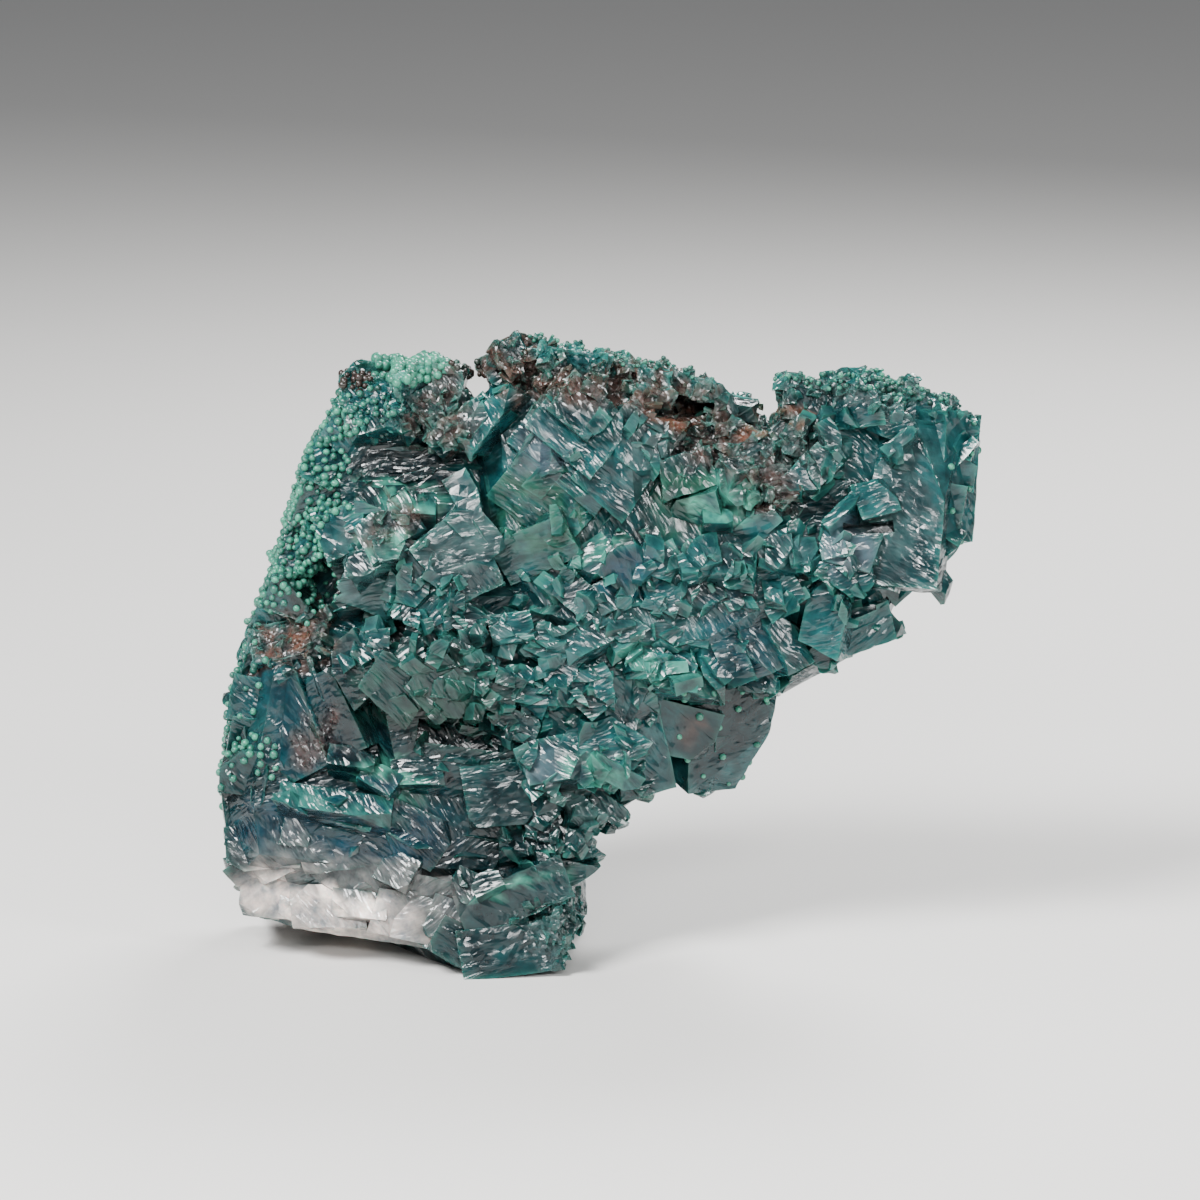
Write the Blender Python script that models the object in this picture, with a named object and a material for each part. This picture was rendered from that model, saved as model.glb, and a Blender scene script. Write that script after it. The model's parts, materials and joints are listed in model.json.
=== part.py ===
"""Apophyllite specimen: an upright mass of intergrown teal crystals, thick at its lower left and
reaching to the upper right as one wide arm.

Every form is placed as the viewer in front sees it, in drawn millimetres: across (+ right), up
and depth (+ away). The viewer looks down by VIEW_TILT, so the finished mass is tilted by that
angle into the upright frame, cut flat where it stands and centred over the origin.
"""

import math
import random

import bmesh
import bpy
from mathutils import Matrix, Vector
from mathutils.bvhtree import BVHTree

# Driving dimensions
SPECIMEN_WIDTH = 0.1145  # metres from the left flank to the tip of the arm
VIEW_TILT = math.radians(12)

# Depths are drawn on a plane that nears the viewer by this much for each millimetre of height,
# measured from the height where the two agree.
FORWARD_LEAN, LEAN_UP = 0.12, 45.0

# The front corner of the foot meets the table here, and the cut runs level from it.
FOOT_CORNER = (-15.0, 0.5, -18.0)  # across, up, depth
CUT_WIDTH, CUT_DEPTH = 200.0, 40.0

FOOT_OVERLAP = 2.0  # how far the foot reaches below the cut before it is made

SEED = 21
NODE_NAME = "crystal_cluster"
TEAL = (0.025, 0.16, 0.17, 1.0)

# One crystal: a block whose sides are 1 before it is drawn out to its length, width and thickness
CRYSTAL_THICKNESS = 6.0
SHEAR = (-0.28, 0.28)  # how far a block leans out of square
FRONT_CORNER_CUTS, PLAIN_CORNER_CUTS = 2, 1
CORNER_REACH = (0.5, 0.88)  # where a corner cut crosses, as a share of the half length
CORNER_WIDTH, CORNER_SLOPE = (0.5, 1.0), (0.4, 1.1)  # how its plane turns to the side and front
POINT_START = (0.5, 0, -0.4)  # the tip of a pointed crystal, and the planes that meet there
POINT_CUTS = ((1, 1.3, 0), (1, -1, 0), (1, 0, 0.6))

# What lies under the outline: chunks given by a convex outline (across, up), the depths of the
# front and back, how far the rims are drawn in, and how the front falls back to the right and up.
CHUNKS = {
    "lower body": (
        [(-54, 15), (-55.5, 22), (-55.8, 29), (-54.5, 38), (-51.5, 50), (-44, 55), (-30, 56),
         (-18, 50), (-10, 38), (-7, 22), (-12, 13), (-38, 12)],
        -11, 18, 5, 0.0, 0.06,
    ),
    "middle": (
        [(-34, 27), (-12, 22), (-2, 23), (5, 28), (8, 33), (12, 44), (8, 56), (-6, 62),
         (-28, 60), (-38, 50)],
        -12, 16, 5, 0.05, 0.0,
    ),
    "shoulder": (
        [(-47, 56), (-44.5, 70), (-40.5, 80), (-36.5, 87), (-30, 89.5), (-20, 88), (-14, 80),
         (-12, 62), (-22, 52), (-40, 50)],
        -7, 14, 5, 0.0, 0.08,
    ),
    "arm": (
        [(-18, 60), (-19, 84), (-14.5, 90), (-11, 92), (0, 90), (10, 88), (20, 84), (27, 79),
         (31, 66), (28, 52), (18, 46), (4, 45), (-10, 50)],
        -11, 14, 5, 0.0, 0.12,
    ),
    "lobe": (
        [(24, 54), (24, 80), (29, 86), (38, 87), (46, 85), (51, 81.5), (54, 78), (53, 70),
         (51.5, 64.5), (45, 58.5), (38, 53.5), (32, 52)],
        -8, 11, 4, 0.05, 0.1,
    ),
}

BACK_JITTER = 2.5  # how uneven the broken back of a chunk is

# Convex lumps given by their corners: (across, up, depth)
LUMPS = {
    "hanging crystal": [
        (13.2, 27.2, -3), (13.2, 41, -6), (20.4, 27.8, 2), (25.6, 36.3, 3), (27.0, 44, 3),
        (24, 50, 0), (10, 48, -4), (9.7, 30, 1), (12, 28.5, 14), (20, 28.5, 14), (25, 38, 14),
        (26.5, 45, 14), (22, 52, 15), (10, 50, 15),
    ],
    "white base": [
        (-52.6, 9.4, 0), (-50, 8.5, -4), (-43.7, 6.8, -6), (-37, 7.6, -7), (-30.9, 5.6, -9),
        (-24, 4.3, -13), (-20, 14, -14), (-32, 17, -13), (-48, 18, -10), (-55, 18, -2),
        (-54.5, 16, 8), (-50, 12, 14), (-36, 10, 16), (-25, 9, 14),
    ],
    "foot": [
        (-53, 24, 0), (-47, 22, -6), (-28, 20, -8), (-10, 20, -11), (-4.5, 19, -5),
        (-3.5, 20, 14), (-10, 26, 19), (-42, 26, 19), (-54, 26, 12),
    ],
}
# Where the foot stands: corners of the level cut as (across, depth)
FOOT_CONTACT = [
    (-15, -17.5), (-8.5, -6.5), (-5.5, 1), (-4.5, 16), (-12, 18.5), (-42, 18.5), (-31, 7),
    (-22.5, -9),
]

# The outline as the viewer sees it, clockwise from the top left: (across, up)
OUTLINE = [
    (-39.2, 84.4), (-38.4, 89.2), (-35.6, 91.2), (-29.6, 92.0), (-24.5, 92.0), (-19.6, 90.6),
    (-18.4, 88.0), (-16.0, 92.6), (-12.6, 95.4), (-7.5, 93.8), (0.6, 92.8), (5.9, 91.4),
    (10.4, 90.8), (15.0, 88.8), (21.0, 86.6), (26.6, 85.4), (27.5, 89.2), (34.2, 89.0),
    (40.5, 89.8), (45.9, 88.0), (52.2, 84.9), (55.9, 81.2), (57.0, 80.0), (56.0, 76.5),
    (55.5, 72.3), (54.3, 66.0), (53.0, 64.0), (50.1, 61.6), (46.5, 57.8), (44.4, 55.6),
    (41.5, 50.6), (37.4, 48.6), (31.4, 49.0), (27.6, 46.0), (27.0, 42.0), (25.8, 36.3),
    (20.6, 27.8), (13.2, 27.2), (9.6, 30.0), (6.9, 26.8), (0.8, 23.6), (-1.2, 21.6),
    (-3.0, 16.0), (-2.6, 9.0), (-5.1, 4.6), (-11.1, 2.0), (-14.9, 0.6), (-20.0, 1.4),
    (-25.4, 4.4), (-30.9, 5.6), (-37.0, 7.4), (-43.7, 6.8), (-50.0, 8.5), (-52.8, 9.4),
    (-53.6, 12.8), (-55.6, 16.0), (-56.2, 22.0), (-57.0, 28.0), (-56.4, 34.0), (-55.6, 39.0),
    (-54.4, 45.0), (-52.6, 52.0), (-50.8, 56.0), (-48.8, 61.0), (-47.0, 68.0), (-44.6, 75.0),
    (-41.9, 81.0),
]
RIM_REACH = 1.12  # a rim slab's length over its stretch of the outline
RIM_WIDTH, RIM_THICKNESS = (4.5, 7.0), (12.0, 18.0)
RIM_DEPTH, RIM_JITTER, RIM_TIP, RIM_INSET = 1.0, 3.0, 0.12, 0.4
# Open notches in the outline, and corners that a lump already has
SKIPPED_RIM = {(26.6, 85.4), (-18.4, 88.0), (25.8, 36.3), (20.6, 27.8), (13.2, 27.2)}
FOOT_RIM_UP, FOOT_RIM_DEPTH, FOOT_RIM_THICKNESS = 6.0, -11.0, 11.0

# Crystals whose shape shows in front. Each is (across, up, depth of its front face, length,
# width, roll of the long side, turn to the right, lean upwards), in drawn millimetres and degrees.
BLOCKS = {
    "top left lump": [
        (-33.0, 85.0, -9.0, 10, 8, 10, -15, 18), (-29.0, 89.4, -4.0, 10, 5, 4, 0, 35),
        (-23.5, 85.5, -8.5, 8, 6, 40, 10, 10), (-22.0, 81.5, -9.0, 7, 3, 15, 0, 20),
    ],
    "slanted slabs": [
        (-20.5, 82.3, -11.5, 11, 3.4, 42, -10, 15), (-16.5, 83.0, -12.5, 11, 3.4, 50, -22, 5),
    ],
    "brown peak": [(-13.6, 90.8, -6.0, 7, 6, 30, -5, 10), (-12.2, 93.0, -1.0, 4.5, 4, 15, 10, 20)],
    "crown": [
        (-3.0, 79.5, -12.8, 17, 14, -38, 0, 8), (-3.0, 81.8, -14.2, 12.5, 10.5, -38, 0, 8),
        (-2.8, 84.3, -15.6, 7.6, 6.8, -38, 2, 8), (-9.0, 78.5, -12.8, 9, 4, -62, -42, 8),
        (5.5, 79.5, -13.6, 10, 8, -40, 20, 5), (1.5, 73.5, -14.8, 10, 7, -35, 5, -5),
        (8.8, 84.0, -11.5, 9, 6, -35, 15, 20),
    ],
    "speckled slope": [
        (-8.5, 70.5, -13.4, 14, 9, -40, -15, -12), (-9.5, 63.5, -13.8, 12, 7, 30, -10, -20),
    ],
    "green terraces": [
        (12.8, 74.8, -13.6, 8, 6, 10, 5, 5), (20.2, 72.8, -13.8, 5.6, 5.6, 0, 20, -5),
        (14.0, 69.3, -13.2, 7.5, 4.6, 15, -20, -30), (17.3, 68.5, -14.2, 4.4, 2.4, 5, 5, 25),
        (22.8, 66.8, -12.6, 8, 3.8, 38, -10, -15), (21.5, 79.0, -10.0, 8, 6, -30, 10, 20),
    ],
    "ridge": [(2.0, 89.0, -5.0, 14, 5, -4, 0, 35), (15.0, 84.6, -6.5, 9, 4, -22, 0, 35)],
    "spikes": [
        (28.4, 80.5, -10.5, 6, 2.6, 75, -20, 10), (34.2, 80.0, -10.5, 6, 2.8, -60, 20, 10),
        (31.0, 75.0, -11.5, 8, 5, 50, -5, 5), (26.0, 73.5, -11.5, 7, 5, -50, 5, 8),
    ],
    "lobe": [
        (45.2, 70.5, -11.6, 25, 11, 86, -14, 6), (53.3, 74.5, -6.2, 19, 9, 84, 52, 0),
        (41.2, 85.0, -8.4, 6.8, 3.8, -8, -5, 25), (43.6, 81.8, -10.0, 7, 4.4, -20, 10, -10),
        (44.0, 79.6, -12.0, 6, 2, 42, -10, 25), (35.8, 70.0, -13.4, 8.5, 2, 46, -15, 30),
        (40.5, 71.2, -12.6, 6, 5.5, 20, 5, 10), (37.2, 63.9, -13.2, 7, 6.2, -20, 0, 15),
        (34.0, 64.9, -13.8, 4, 5, 10, -20, 10), (36.4, 60.2, -13.8, 8, 5.6, -35, 5, 10),
        (45.5, 62.3, -9.8, 9, 5, 40, 10, -25), (48.0, 61.2, -5.5, 14, 4.4, 41, 25, -30),
    ],
    "block crystals": [
        (33.0, 53.4, -13.0, 9.5, 6.8, 62, -25, -5), (38.6, 51.6, -10.4, 10, 6, 15, 15, -10),
        (34.0, 48.9, -9.2, 6.5, 4.6, 60, 0, -15),
    ],
    "slab fan": [
        (19.0, 48.8, -12.8, 11, 4.4, -68, 10, 0), (23.4, 49.8, -11.6, 10, 4.2, -62, 20, 0),
        (27.6, 50.4, -11.0, 10, 4.2, -60, 25, 5), (12.0, 47.0, -13.8, 4.8, 3.6, -25, 0, 20),
        (6.3, 47.7, -14.2, 5.4, 4.2, -20, -10, 20),
    ],
    "under the arm": [
        (5.6, 36.2, -9.8, 19, 9, -75, 30, -8), (12.4, 36.6, -6.4, 10.5, 8, -20, 15, -15),
        (0.5, 34.6, -13.8, 11.5, 9, -35, 10, 5), (2.4, 30.4, -14.2, 8.5, 3.2, -32, 10, -20),
        (-7.3, 32.8, -15.8, 8.4, 7, 20, -5, 20), (-15.2, 27.4, -14.2, 9.4, 9.2, 10, 5, 0),
    ],
    "shards": [
        (-3.0, 25.6, -12.4, 7.5, 3.2, -30, 10, 15), (1.2, 25.2, -9.4, 6.5, 3.2, -25, 20, 0),
        (-8.6, 25.4, -13.6, 7.2, 4.2, 35, -5, 5), (-9.0, 20.6, -13.4, 12, 4.2, 5, 0, 25),
    ],
    "front blades": [
        (-12.6, 12.3, -17.2, 17, 6.6, 20, 5, -8), (-19.0, 13.8, -16.8, 6.4, 5, -30, -10, 15),
        (-16.8, 14.8, -17.8, 4.6, 3.6, 30, -15, 30),
    ],
    "foot crystals": [
        (-13.2, 4.6, -17.8, 15, 7.6, 10, 4, 0), (-6.8, 7.6, -13.4, 8, 7, 35, 30, 0),
        (-21.5, 8.6, -15.6, 8.4, 6.4, -20, -10, 10),
    ],
    "white base": [
        (-48.0, 11.8, -8.6, 12, 6, -8, -15, 0), (-40.4, 10.8, -11.4, 11, 6.4, 5, 0, 5),
        (-35.6, 11.2, -13.2, 8.4, 4, -5, -5, 15), (-29.0, 9.8, -13.6, 9, 7, -15, 5, -5),
        (-30.0, 16.4, -14.2, 5.4, 5.2, -30, -10, 15),
    ],
    "dark band": [
        (-49.0, 22.0, -9.4, 14, 10, -65, -20, -5), (-38.0, 20.8, -12.2, 14, 9, 15, -5, -5),
        (-27.6, 21.4, -12.8, 10.5, 8, -35, 5, -5), (-39.0, 26.6, -14.6, 17, 3.8, -10, 0, 30),
    ],
    "left face": [
        (-47.4, 38.0, -10.4, 18, 11, -62, -28, 0), (-39.6, 39.2, -12.8, 13, 6.4, -65, -25, -10),
        (-36.5, 33.2, -14.8, 7, 3.2, -10, 0, 25), (-32.4, 30.2, -14.8, 5.8, 3.8, -35, 0, 25),
        (-27.0, 31.4, -13.8, 7.4, 5, 10, 0, 15),
    ],
    "lip": [
        (-36.2, 46.0, -15.2, 9.5, 6.4, -50, -20, -5), (-30.0, 43.2, -17.4, 9.4, 7.4, -35, -5, -15),
        (-23.0, 43.0, -18.4, 9.4, 8.2, -40, 5, -15), (-15.8, 43.4, -17.0, 8.4, 6.4, -30, 10, -10),
    ],
    "sharp crystals": [
        (-34.0, 50.0, -15.6, 5.4, 3.8, -60, -20, 20), (-29.4, 48.6, -17.2, 7.4, 4.4, 10, 0, 22),
        (-21.5, 48.6, -17.8, 6.4, 4.8, 20, 0, 25), (-18.4, 45.4, -18.2, 5.4, 4, -40, 0, 20),
        (-26.4, 54.0, -15.8, 7.2, 5.2, 25, -5, 10), (-19.4, 53.4, -15.8, 5.6, 4.4, -35, 5, 15),
        (-13.0, 52.2, -15.6, 6.4, 4.6, 15, 0, 15), (-7.4, 49.6, -15.4, 6.2, 4.4, -30, 5, 15),
        (-2.0, 51.0, -15.2, 7.4, 5, 20, 0, 20), (3.6, 52.2, -14.6, 5.6, 4.4, -45, 5, 10),
        (-5.6, 45.8, -15.4, 5.6, 4.4, 40, 0, 10), (-10.2, 42.6, -15.6, 6.4, 4.4, -35, 0, 15),
        (-12.6, 37.8, -14.4, 7.4, 4.4, -20, 5, -8), (-2.0, 42.6, -14.8, 7.6, 5.2, -50, 5, 0),
    ],
    "row along the arm": [
        (3.8, 61.2, -15.4, 7, 6.4, 55, 5, -12), (8.6, 62.0, -14.4, 5.8, 5, -20, 15, 5),
        (-1.0, 62.6, -14.4, 6.2, 5, 35, -15, 15), (14.8, 63.2, -14.8, 5.6, 5.6, 10, -5, 35),
        (19.6, 62.2, -14.8, 6.6, 5.6, -10, 5, 35), (26.2, 64.0, -13.8, 6.6, 4.2, -75, -10, 20),
        (29.8, 63.4, -13.8, 4.4, 4.2, 10, 5, 20), (2.4, 57.4, -14.8, 6.4, 4.8, 15, 0, 10),
        (9.0, 57.0, -14.6, 6.4, 4.4, -25, 0, 15), (15.0, 57.4, -14.2, 6.4, 4.8, 20, 5, 5),
        (21.4, 57.4, -13.8, 7.2, 4.8, -30, 5, 5), (-3.6, 57.2, -14.8, 6.2, 4.8, -35, -5, 10),
        (12.2, 52.4, -13.8, 8.4, 5.2, -10, 5, 0), (26.6, 57.0, -12.8, 6.4, 5, 30, 5, 0),
    ],
    "bulge": [
        (-30.0, 70.8, -13.6, 12, 3.8, -3, 0, 30), (-31.0, 67.0, -15.2, 9.4, 6.6, 28, -10, 15),
        (-37.6, 66.4, -12.4, 8.4, 7.2, 20, -25, 10), (-33.0, 62.8, -15.6, 9.4, 4, 30, -10, 20),
        (-30.6, 64.0, -16.6, 4.6, 4, 20, 5, 15), (-35.4, 61.8, -15.4, 4.8, 3.6, 15, -15, 5),
        (-20.6, 64.0, -15.6, 12, 9, 40, 8, 5), (-19.0, 59.0, -16.2, 9, 5, 20, 5, -10),
        (-27.0, 60.0, -15.6, 9.4, 4.8, 75, -10, 0), (-33.6, 57.0, -12.8, 10, 6, -30, -10, -25),
    ],
    "left edge": [
        (-46.4, 50.4, -9.4, 11, 6, -5, -25, 20), (-41.6, 66.0, -8.4, 8.4, 5, 50, -35, 5),
    ],
}

# Crystals that end in a point at the right of their long side, given in the same way
POINTED = {
    "glass blade": [(-19.0, 70.4, -13.8, 10, 4, -60, -5, 10)],
    "corner blade": [(42.4, 52.6, -5.0, 9, 5.4, -22, 15, -5)],
    "arm blades": [
        (16.8, 45.8, -13.2, 10.5, 3.4, -68, 10, 5), (10.0, 45.2, -12.8, 15, 4.4, -25, 0, 15),
        (15.6, 43.2, -11.8, 8, 3.2, -33, 10, 5), (0.6, 43.2, -15.0, 7, 4, -60, 5, 10),
    ],
    "foot blades": [
        (-4.0, 19.4, -11.4, 11, 4.4, -3, 10, 15), (-5.0, 15.8, -12.8, 11.5, 5, 3, 10, -10),
        (-7.6, 22.0, -13.6, 6.5, 3.4, -15, 5, 15),
    ],
    "notch crystal": [(25.0, 86.0, 1.0, 4.5, 4, 80, 10, 0)],
}

# Hollows, given as blocks whose front face lies in front of the surface, with their thickness
HOLLOWS = [
    (12.4, 83.6, -14.0, 8.5, 3.4, 12, -12, 0, -10),  # brown hollow under the ridge
    (-43.0, 58.4, -14.0, 6.4, 5.6, 14, -60, -15, 0),  # dark hollow in the left flank
    (-30.6, 51.4, -20.0, 5.6, 2.8, 11, 75, -5, 0),  # narrow hole above the lip
    (39.4, 67.5, -16.0, 7.5, 1.8, 7.5, 8, 0, 10),  # pocket under the thin ledge
    (38.2, 55.4, -17.0, 4.8, 3.2, 8.0, 12, 0, 0),  # hollow behind the block crystal
    (-20.5, 37.6, -22.0, 13, 3.4, 12, -8, 0, 8),  # shadowed cave below the lip
    (3.2, 65.2, -18.0, 3.0, 2.4, 6.0, 20, 0, 0),  # dark gap above the blue crystal
]

# Crystals scattered over what the front doesn't show: how many, their lengths, how far they turn
# out of the surface in degrees, the ranges (across, up, depth) that lines toward the mass start
# from, and the way those lines go. Each crystal grows where its line meets the mass.
SCATTER = {
    "back": (52, (8, 17), 15, ((-54, 54), (8, 92), (60, 60)), (0, -1, 0)),
    "underside": (8, (4, 7), 25, ((-2, 52), (-20, -20), (-6, 12)), (0, 0.2, 1)),
    "top": (9, (4, 7), 25, ((-36, 52), (130, 130), (2, 16)), (0, -0.2, -1)),
}
SCATTER_WIDTH = (0.45, 0.9)  # the width of a scattered crystal as a share of its length
SCATTER_RISE = (0.5, 2.4)  # how far it stands out

# Round beads fused in a crust, placed in the same way: how many, the ranges and the way
BEADS = {
    "upper flank": (9, ((-90, -90), (56, 84), (-8, 7)), (1, 0, 0)),
    "lower flank": (4, ((-90, -90), (34, 56), (-8, 7)), (1, 0, 0)),
    "top": (5, ((-38, -20), (130, 130), (-7, 6)), (0, 0, -1)),
    "lobe": (3, ((29, 56), (130, 130), (-5, 4)), (0, 0, -1)),
}
BEAD_RADIUS = (0.9, 1.5)
BEAD_SINK = 0.35  # how much of its radius a bead sinks into what it grew on


def clear_scene():
    for thing in list(bpy.data.objects):
        bpy.data.objects.remove(thing)


def crystal_material():
    material = bpy.data.materials.new("teal_crystal")
    material.use_nodes = True
    shader = material.node_tree.nodes["Principled BSDF"]
    shader.inputs["Base Color"].default_value = TEAL
    shader.inputs["Roughness"].default_value = 0.3
    shader.inputs["Metallic"].default_value = 0.0
    return material


def hidden_object(name, bm, collection):
    """An object that only takes part in a union or a cut."""
    bmesh.ops.recalc_face_normals(bm, faces=bm.faces)
    if bm.calc_volume(signed=True) < 0:
        bmesh.ops.reverse_faces(bm, faces=bm.faces)
    mesh = bpy.data.meshes.new(name)
    bm.to_mesh(mesh)
    bm.free()
    thing = bpy.data.objects.new(name, mesh)
    thing.hide_render = True
    thing.display_type = "WIRE"
    collection.objects.link(thing)
    return thing


def convex(name, corners, collection):
    bm = bmesh.new()
    for corner in corners:
        bm.verts.new(corner)
    hull = bmesh.ops.convex_hull(bm, input=bm.verts)
    inside = [item for item in hull["geom_interior"] if isinstance(item, bmesh.types.BMVert)]
    bmesh.ops.delete(bm, geom=inside, context="VERTS")
    return hidden_object(name, bm, collection)


def seen(across, up, depth):
    """A point as the viewer places it."""
    return Vector((across, depth - FORWARD_LEAN * (up - LEAN_UP), up))


def foot_level():
    """The height of the cut once the mass stands."""
    corner = seen(*FOOT_CORNER)
    return corner.z * math.cos(VIEW_TILT) - corner.y * math.sin(VIEW_TILT)


def foot_up(depth):
    """How high the viewer sees the level of the cut at this depth."""
    drawn = depth + FORWARD_LEAN * LEAN_UP
    rise = math.cos(VIEW_TILT) + FORWARD_LEAN * math.sin(VIEW_TILT)
    return (foot_level() + drawn * math.sin(VIEW_TILT)) / rise


def facing(turn, lean):
    """The direction that a face looks in: 0, 0 faces the viewer."""
    turn, lean = math.radians(turn), math.radians(lean)
    return Vector(
        (math.sin(turn) * math.cos(lean), -math.cos(turn) * math.cos(lean), math.sin(lean))
    )


def frame_of(front, roll):
    """Axes of a crystal: its long side at roll degrees as seen, its front along the given way."""
    roll = math.radians(roll)
    long_side = Vector((math.cos(roll), 0, math.sin(roll)))
    long_side = (long_side - long_side.project(front)).normalized()
    return Matrix((long_side, front.cross(long_side), front)).transposed()


def cut_away(bm, point, normal):
    """Cuts off what lies beyond a plane and closes the cut."""
    everything = bm.verts[:] + bm.edges[:] + bm.faces[:]
    cut = bmesh.ops.bisect_plane(
        bm, geom=everything, plane_co=point, plane_no=normal, clear_outer=True
    )
    rim = [item for item in cut["geom_cut"] if isinstance(item, bmesh.types.BMEdge)]
    if rim:
        bmesh.ops.contextual_create(bm, geom=rim)


def crystal(name, place, size, axes, chance, collection, cuts, pointed=False):
    """A block with some of its corners cut off, or one that ends in a point along its long
    side. Its front face is centred on place."""
    length, width, thickness = size
    bm = bmesh.new()
    bmesh.ops.create_cube(bm, size=1)
    for vert in bm.verts:
        vert.co.z -= 0.5
    if pointed:
        for normal in POINT_CUTS:
            cut_away(bm, Vector(POINT_START), Vector(normal))
    for _ in range(cuts):
        corner = Vector((chance.choice((-1, 1)), chance.choice((-1, 1)), 1))
        reach = chance.uniform(*CORNER_REACH)
        to_side, to_front = chance.uniform(*CORNER_WIDTH), chance.uniform(*CORNER_SLOPE)
        normal = Vector((corner.x, corner.y * to_side, to_front))
        cut_away(bm, Vector((corner.x * reach / 2, corner.y * reach / 2, 0)), normal)
    lean_over = Matrix.Shear("YZ", 4, (0 if pointed else chance.uniform(*SHEAR), 0))
    grow = Matrix.Diagonal((length, width, thickness, 1)) @ lean_over
    bm.transform(Matrix.Translation(place) @ axes.to_4x4() @ grow)
    return hidden_object(name, bm, collection)


def add_chunks(chance, collection):
    """The bulk under the crystals."""
    for name, (outline, front, back, drawn_in, to_right, to_top) in CHUNKS.items():
        middle_across = sum(point[0] for point in outline) / len(outline)
        middle_up = sum(point[1] for point in outline) / len(outline)
        corners = []
        for across, up in outline:
            falls = to_right * (across - middle_across) + to_top * (up - middle_up)
            toward = Vector((middle_across - across, middle_up - up)).normalized() * drawn_in
            corners.append(seen(across, up, front + falls + drawn_in))
            corners.append(seen(across, up, back - drawn_in))
            corners.append(seen(across + toward.x, up + toward.y, front + falls))
            unevenness = chance.uniform(-BACK_JITTER, BACK_JITTER)
            corners.append(seen(across + toward.x, up + toward.y, back + unevenness))
        convex(name, corners, collection)
    for name, corners in LUMPS.items():
        corners = [seen(*corner) for corner in corners]
        if name == "foot":
            for across, depth in FOOT_CONTACT:
                corners.append(seen(across, foot_up(depth) - FOOT_OVERLAP, depth))
        convex(name, corners, collection)


def add_crystals(chance, collection):
    for blocks, pointed in ((BLOCKS, False), (POINTED, True)):
        for name, crystals in blocks.items():
            for across, up, depth, length, width, roll, turn, lean in crystals:
                axes = frame_of(facing(turn, lean), roll)
                size = (length, width, CRYSTAL_THICKNESS)
                place = seen(across, up, depth)
                cuts = FRONT_CORNER_CUTS
                crystal(name, place, size, axes, chance, collection, cuts, pointed)


def add_rim(chance, collection):
    """Slabs whose outer faces follow the outline."""
    for start, end in zip(OUTLINE, OUTLINE[1:] + OUTLINE[:1]):
        if start in SKIPPED_RIM or end in SKIPPED_RIM:
            continue
        start, end = Vector(start), Vector(end)
        along = end - start
        outward = Vector((-along.y, along.x)).normalized()
        near_foot = max(start.y, end.y) < FOOT_RIM_UP
        thickness = FOOT_RIM_THICKNESS if near_foot else chance.uniform(*RIM_THICKNESS)
        depth = FOOT_RIM_DEPTH if near_foot else RIM_DEPTH
        depth += chance.uniform(-RIM_JITTER, RIM_JITTER)
        middle = (start + end) / 2 - outward * RIM_INSET
        long_side = Vector((along.x, 0, along.y)).normalized()
        tip = Matrix.Rotation(chance.uniform(-RIM_TIP, RIM_TIP), 3, long_side)
        front = tip @ Vector((outward.x, 0, outward.y))
        axes = Matrix((long_side, front.cross(long_side), front)).transposed()
        size = (along.length * RIM_REACH, thickness, chance.uniform(*RIM_WIDTH))
        place = seen(middle.x, middle.y, depth)
        crystal("rim", place, size, axes, chance, collection, PLAIN_CORNER_CUTS)


def merged(name, pieces, operation, base):
    """One closed mesh: the base with every piece joined to it or cut from it."""
    change = base.modifiers.new(name, "BOOLEAN")
    change.operation = operation
    change.solver = "MANIFOLD"  # the exact solver leaves open edges where this many crystals meet
    change.operand_type = "COLLECTION"
    change.collection = pieces
    shapes = bpy.context.evaluated_depsgraph_get()
    mesh = bpy.data.meshes.new_from_object(base.evaluated_get(shapes))
    solid = bpy.data.objects.new(name, mesh)
    solid.hide_render = True
    bpy.context.scene.collection.objects.link(solid)
    return solid


def new_collection(name):
    collection = bpy.data.collections.new(name)
    bpy.context.scene.collection.children.link(collection)
    return collection


def within_outline(point):
    """Whether the viewer sees this point inside the outline."""
    inside = False
    for start, end in zip(OUTLINE, OUTLINE[1:] + OUTLINE[:1]):
        if (start[1] > point.z) != (end[1] > point.z):
            share = (point.z - start[1]) / (end[1] - start[1])
            if point.x < start[0] + share * (end[0] - start[0]):
                inside = not inside
    return inside


def surface_of(solid):
    bm = bmesh.new()
    bm.from_mesh(solid.data)
    tree = BVHTree.FromBMesh(bm)
    bm.free()
    return tree


def growth_places(surface, count, ranges, way, chance):
    """Where lines from random points in the ranges meet the mass, and which way it faces there."""
    for _ in range(count):
        start = seen(*(chance.uniform(*limits) for limits in ranges))
        place, normal, _, _ = surface.ray_cast(start, Vector(way))
        if place is not None:
            yield place, normal


def add_scatter(surface, chance, collection):
    """Crystals on the back, the underside and the top, each lying roughly with the surface."""
    for name, (count, lengths, jitter, ranges, way) in SCATTER.items():
        for place, normal in growth_places(surface, count, ranges, way, chance):
            wobble = Vector([chance.gauss(0, math.radians(jitter)) for _ in range(3)])
            axes = frame_of((normal + wobble).normalized(), chance.uniform(0, 180))
            length = chance.uniform(*lengths)
            size = (length, length * chance.uniform(*SCATTER_WIDTH), CRYSTAL_THICKNESS)
            place += normal * chance.uniform(*SCATTER_RISE)
            reach = axes.col[0] * length / 2
            if within_outline(place + reach) and within_outline(place - reach):
                crystal(name, place, size, axes, chance, collection, PLAIN_CORNER_CUTS)


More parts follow.
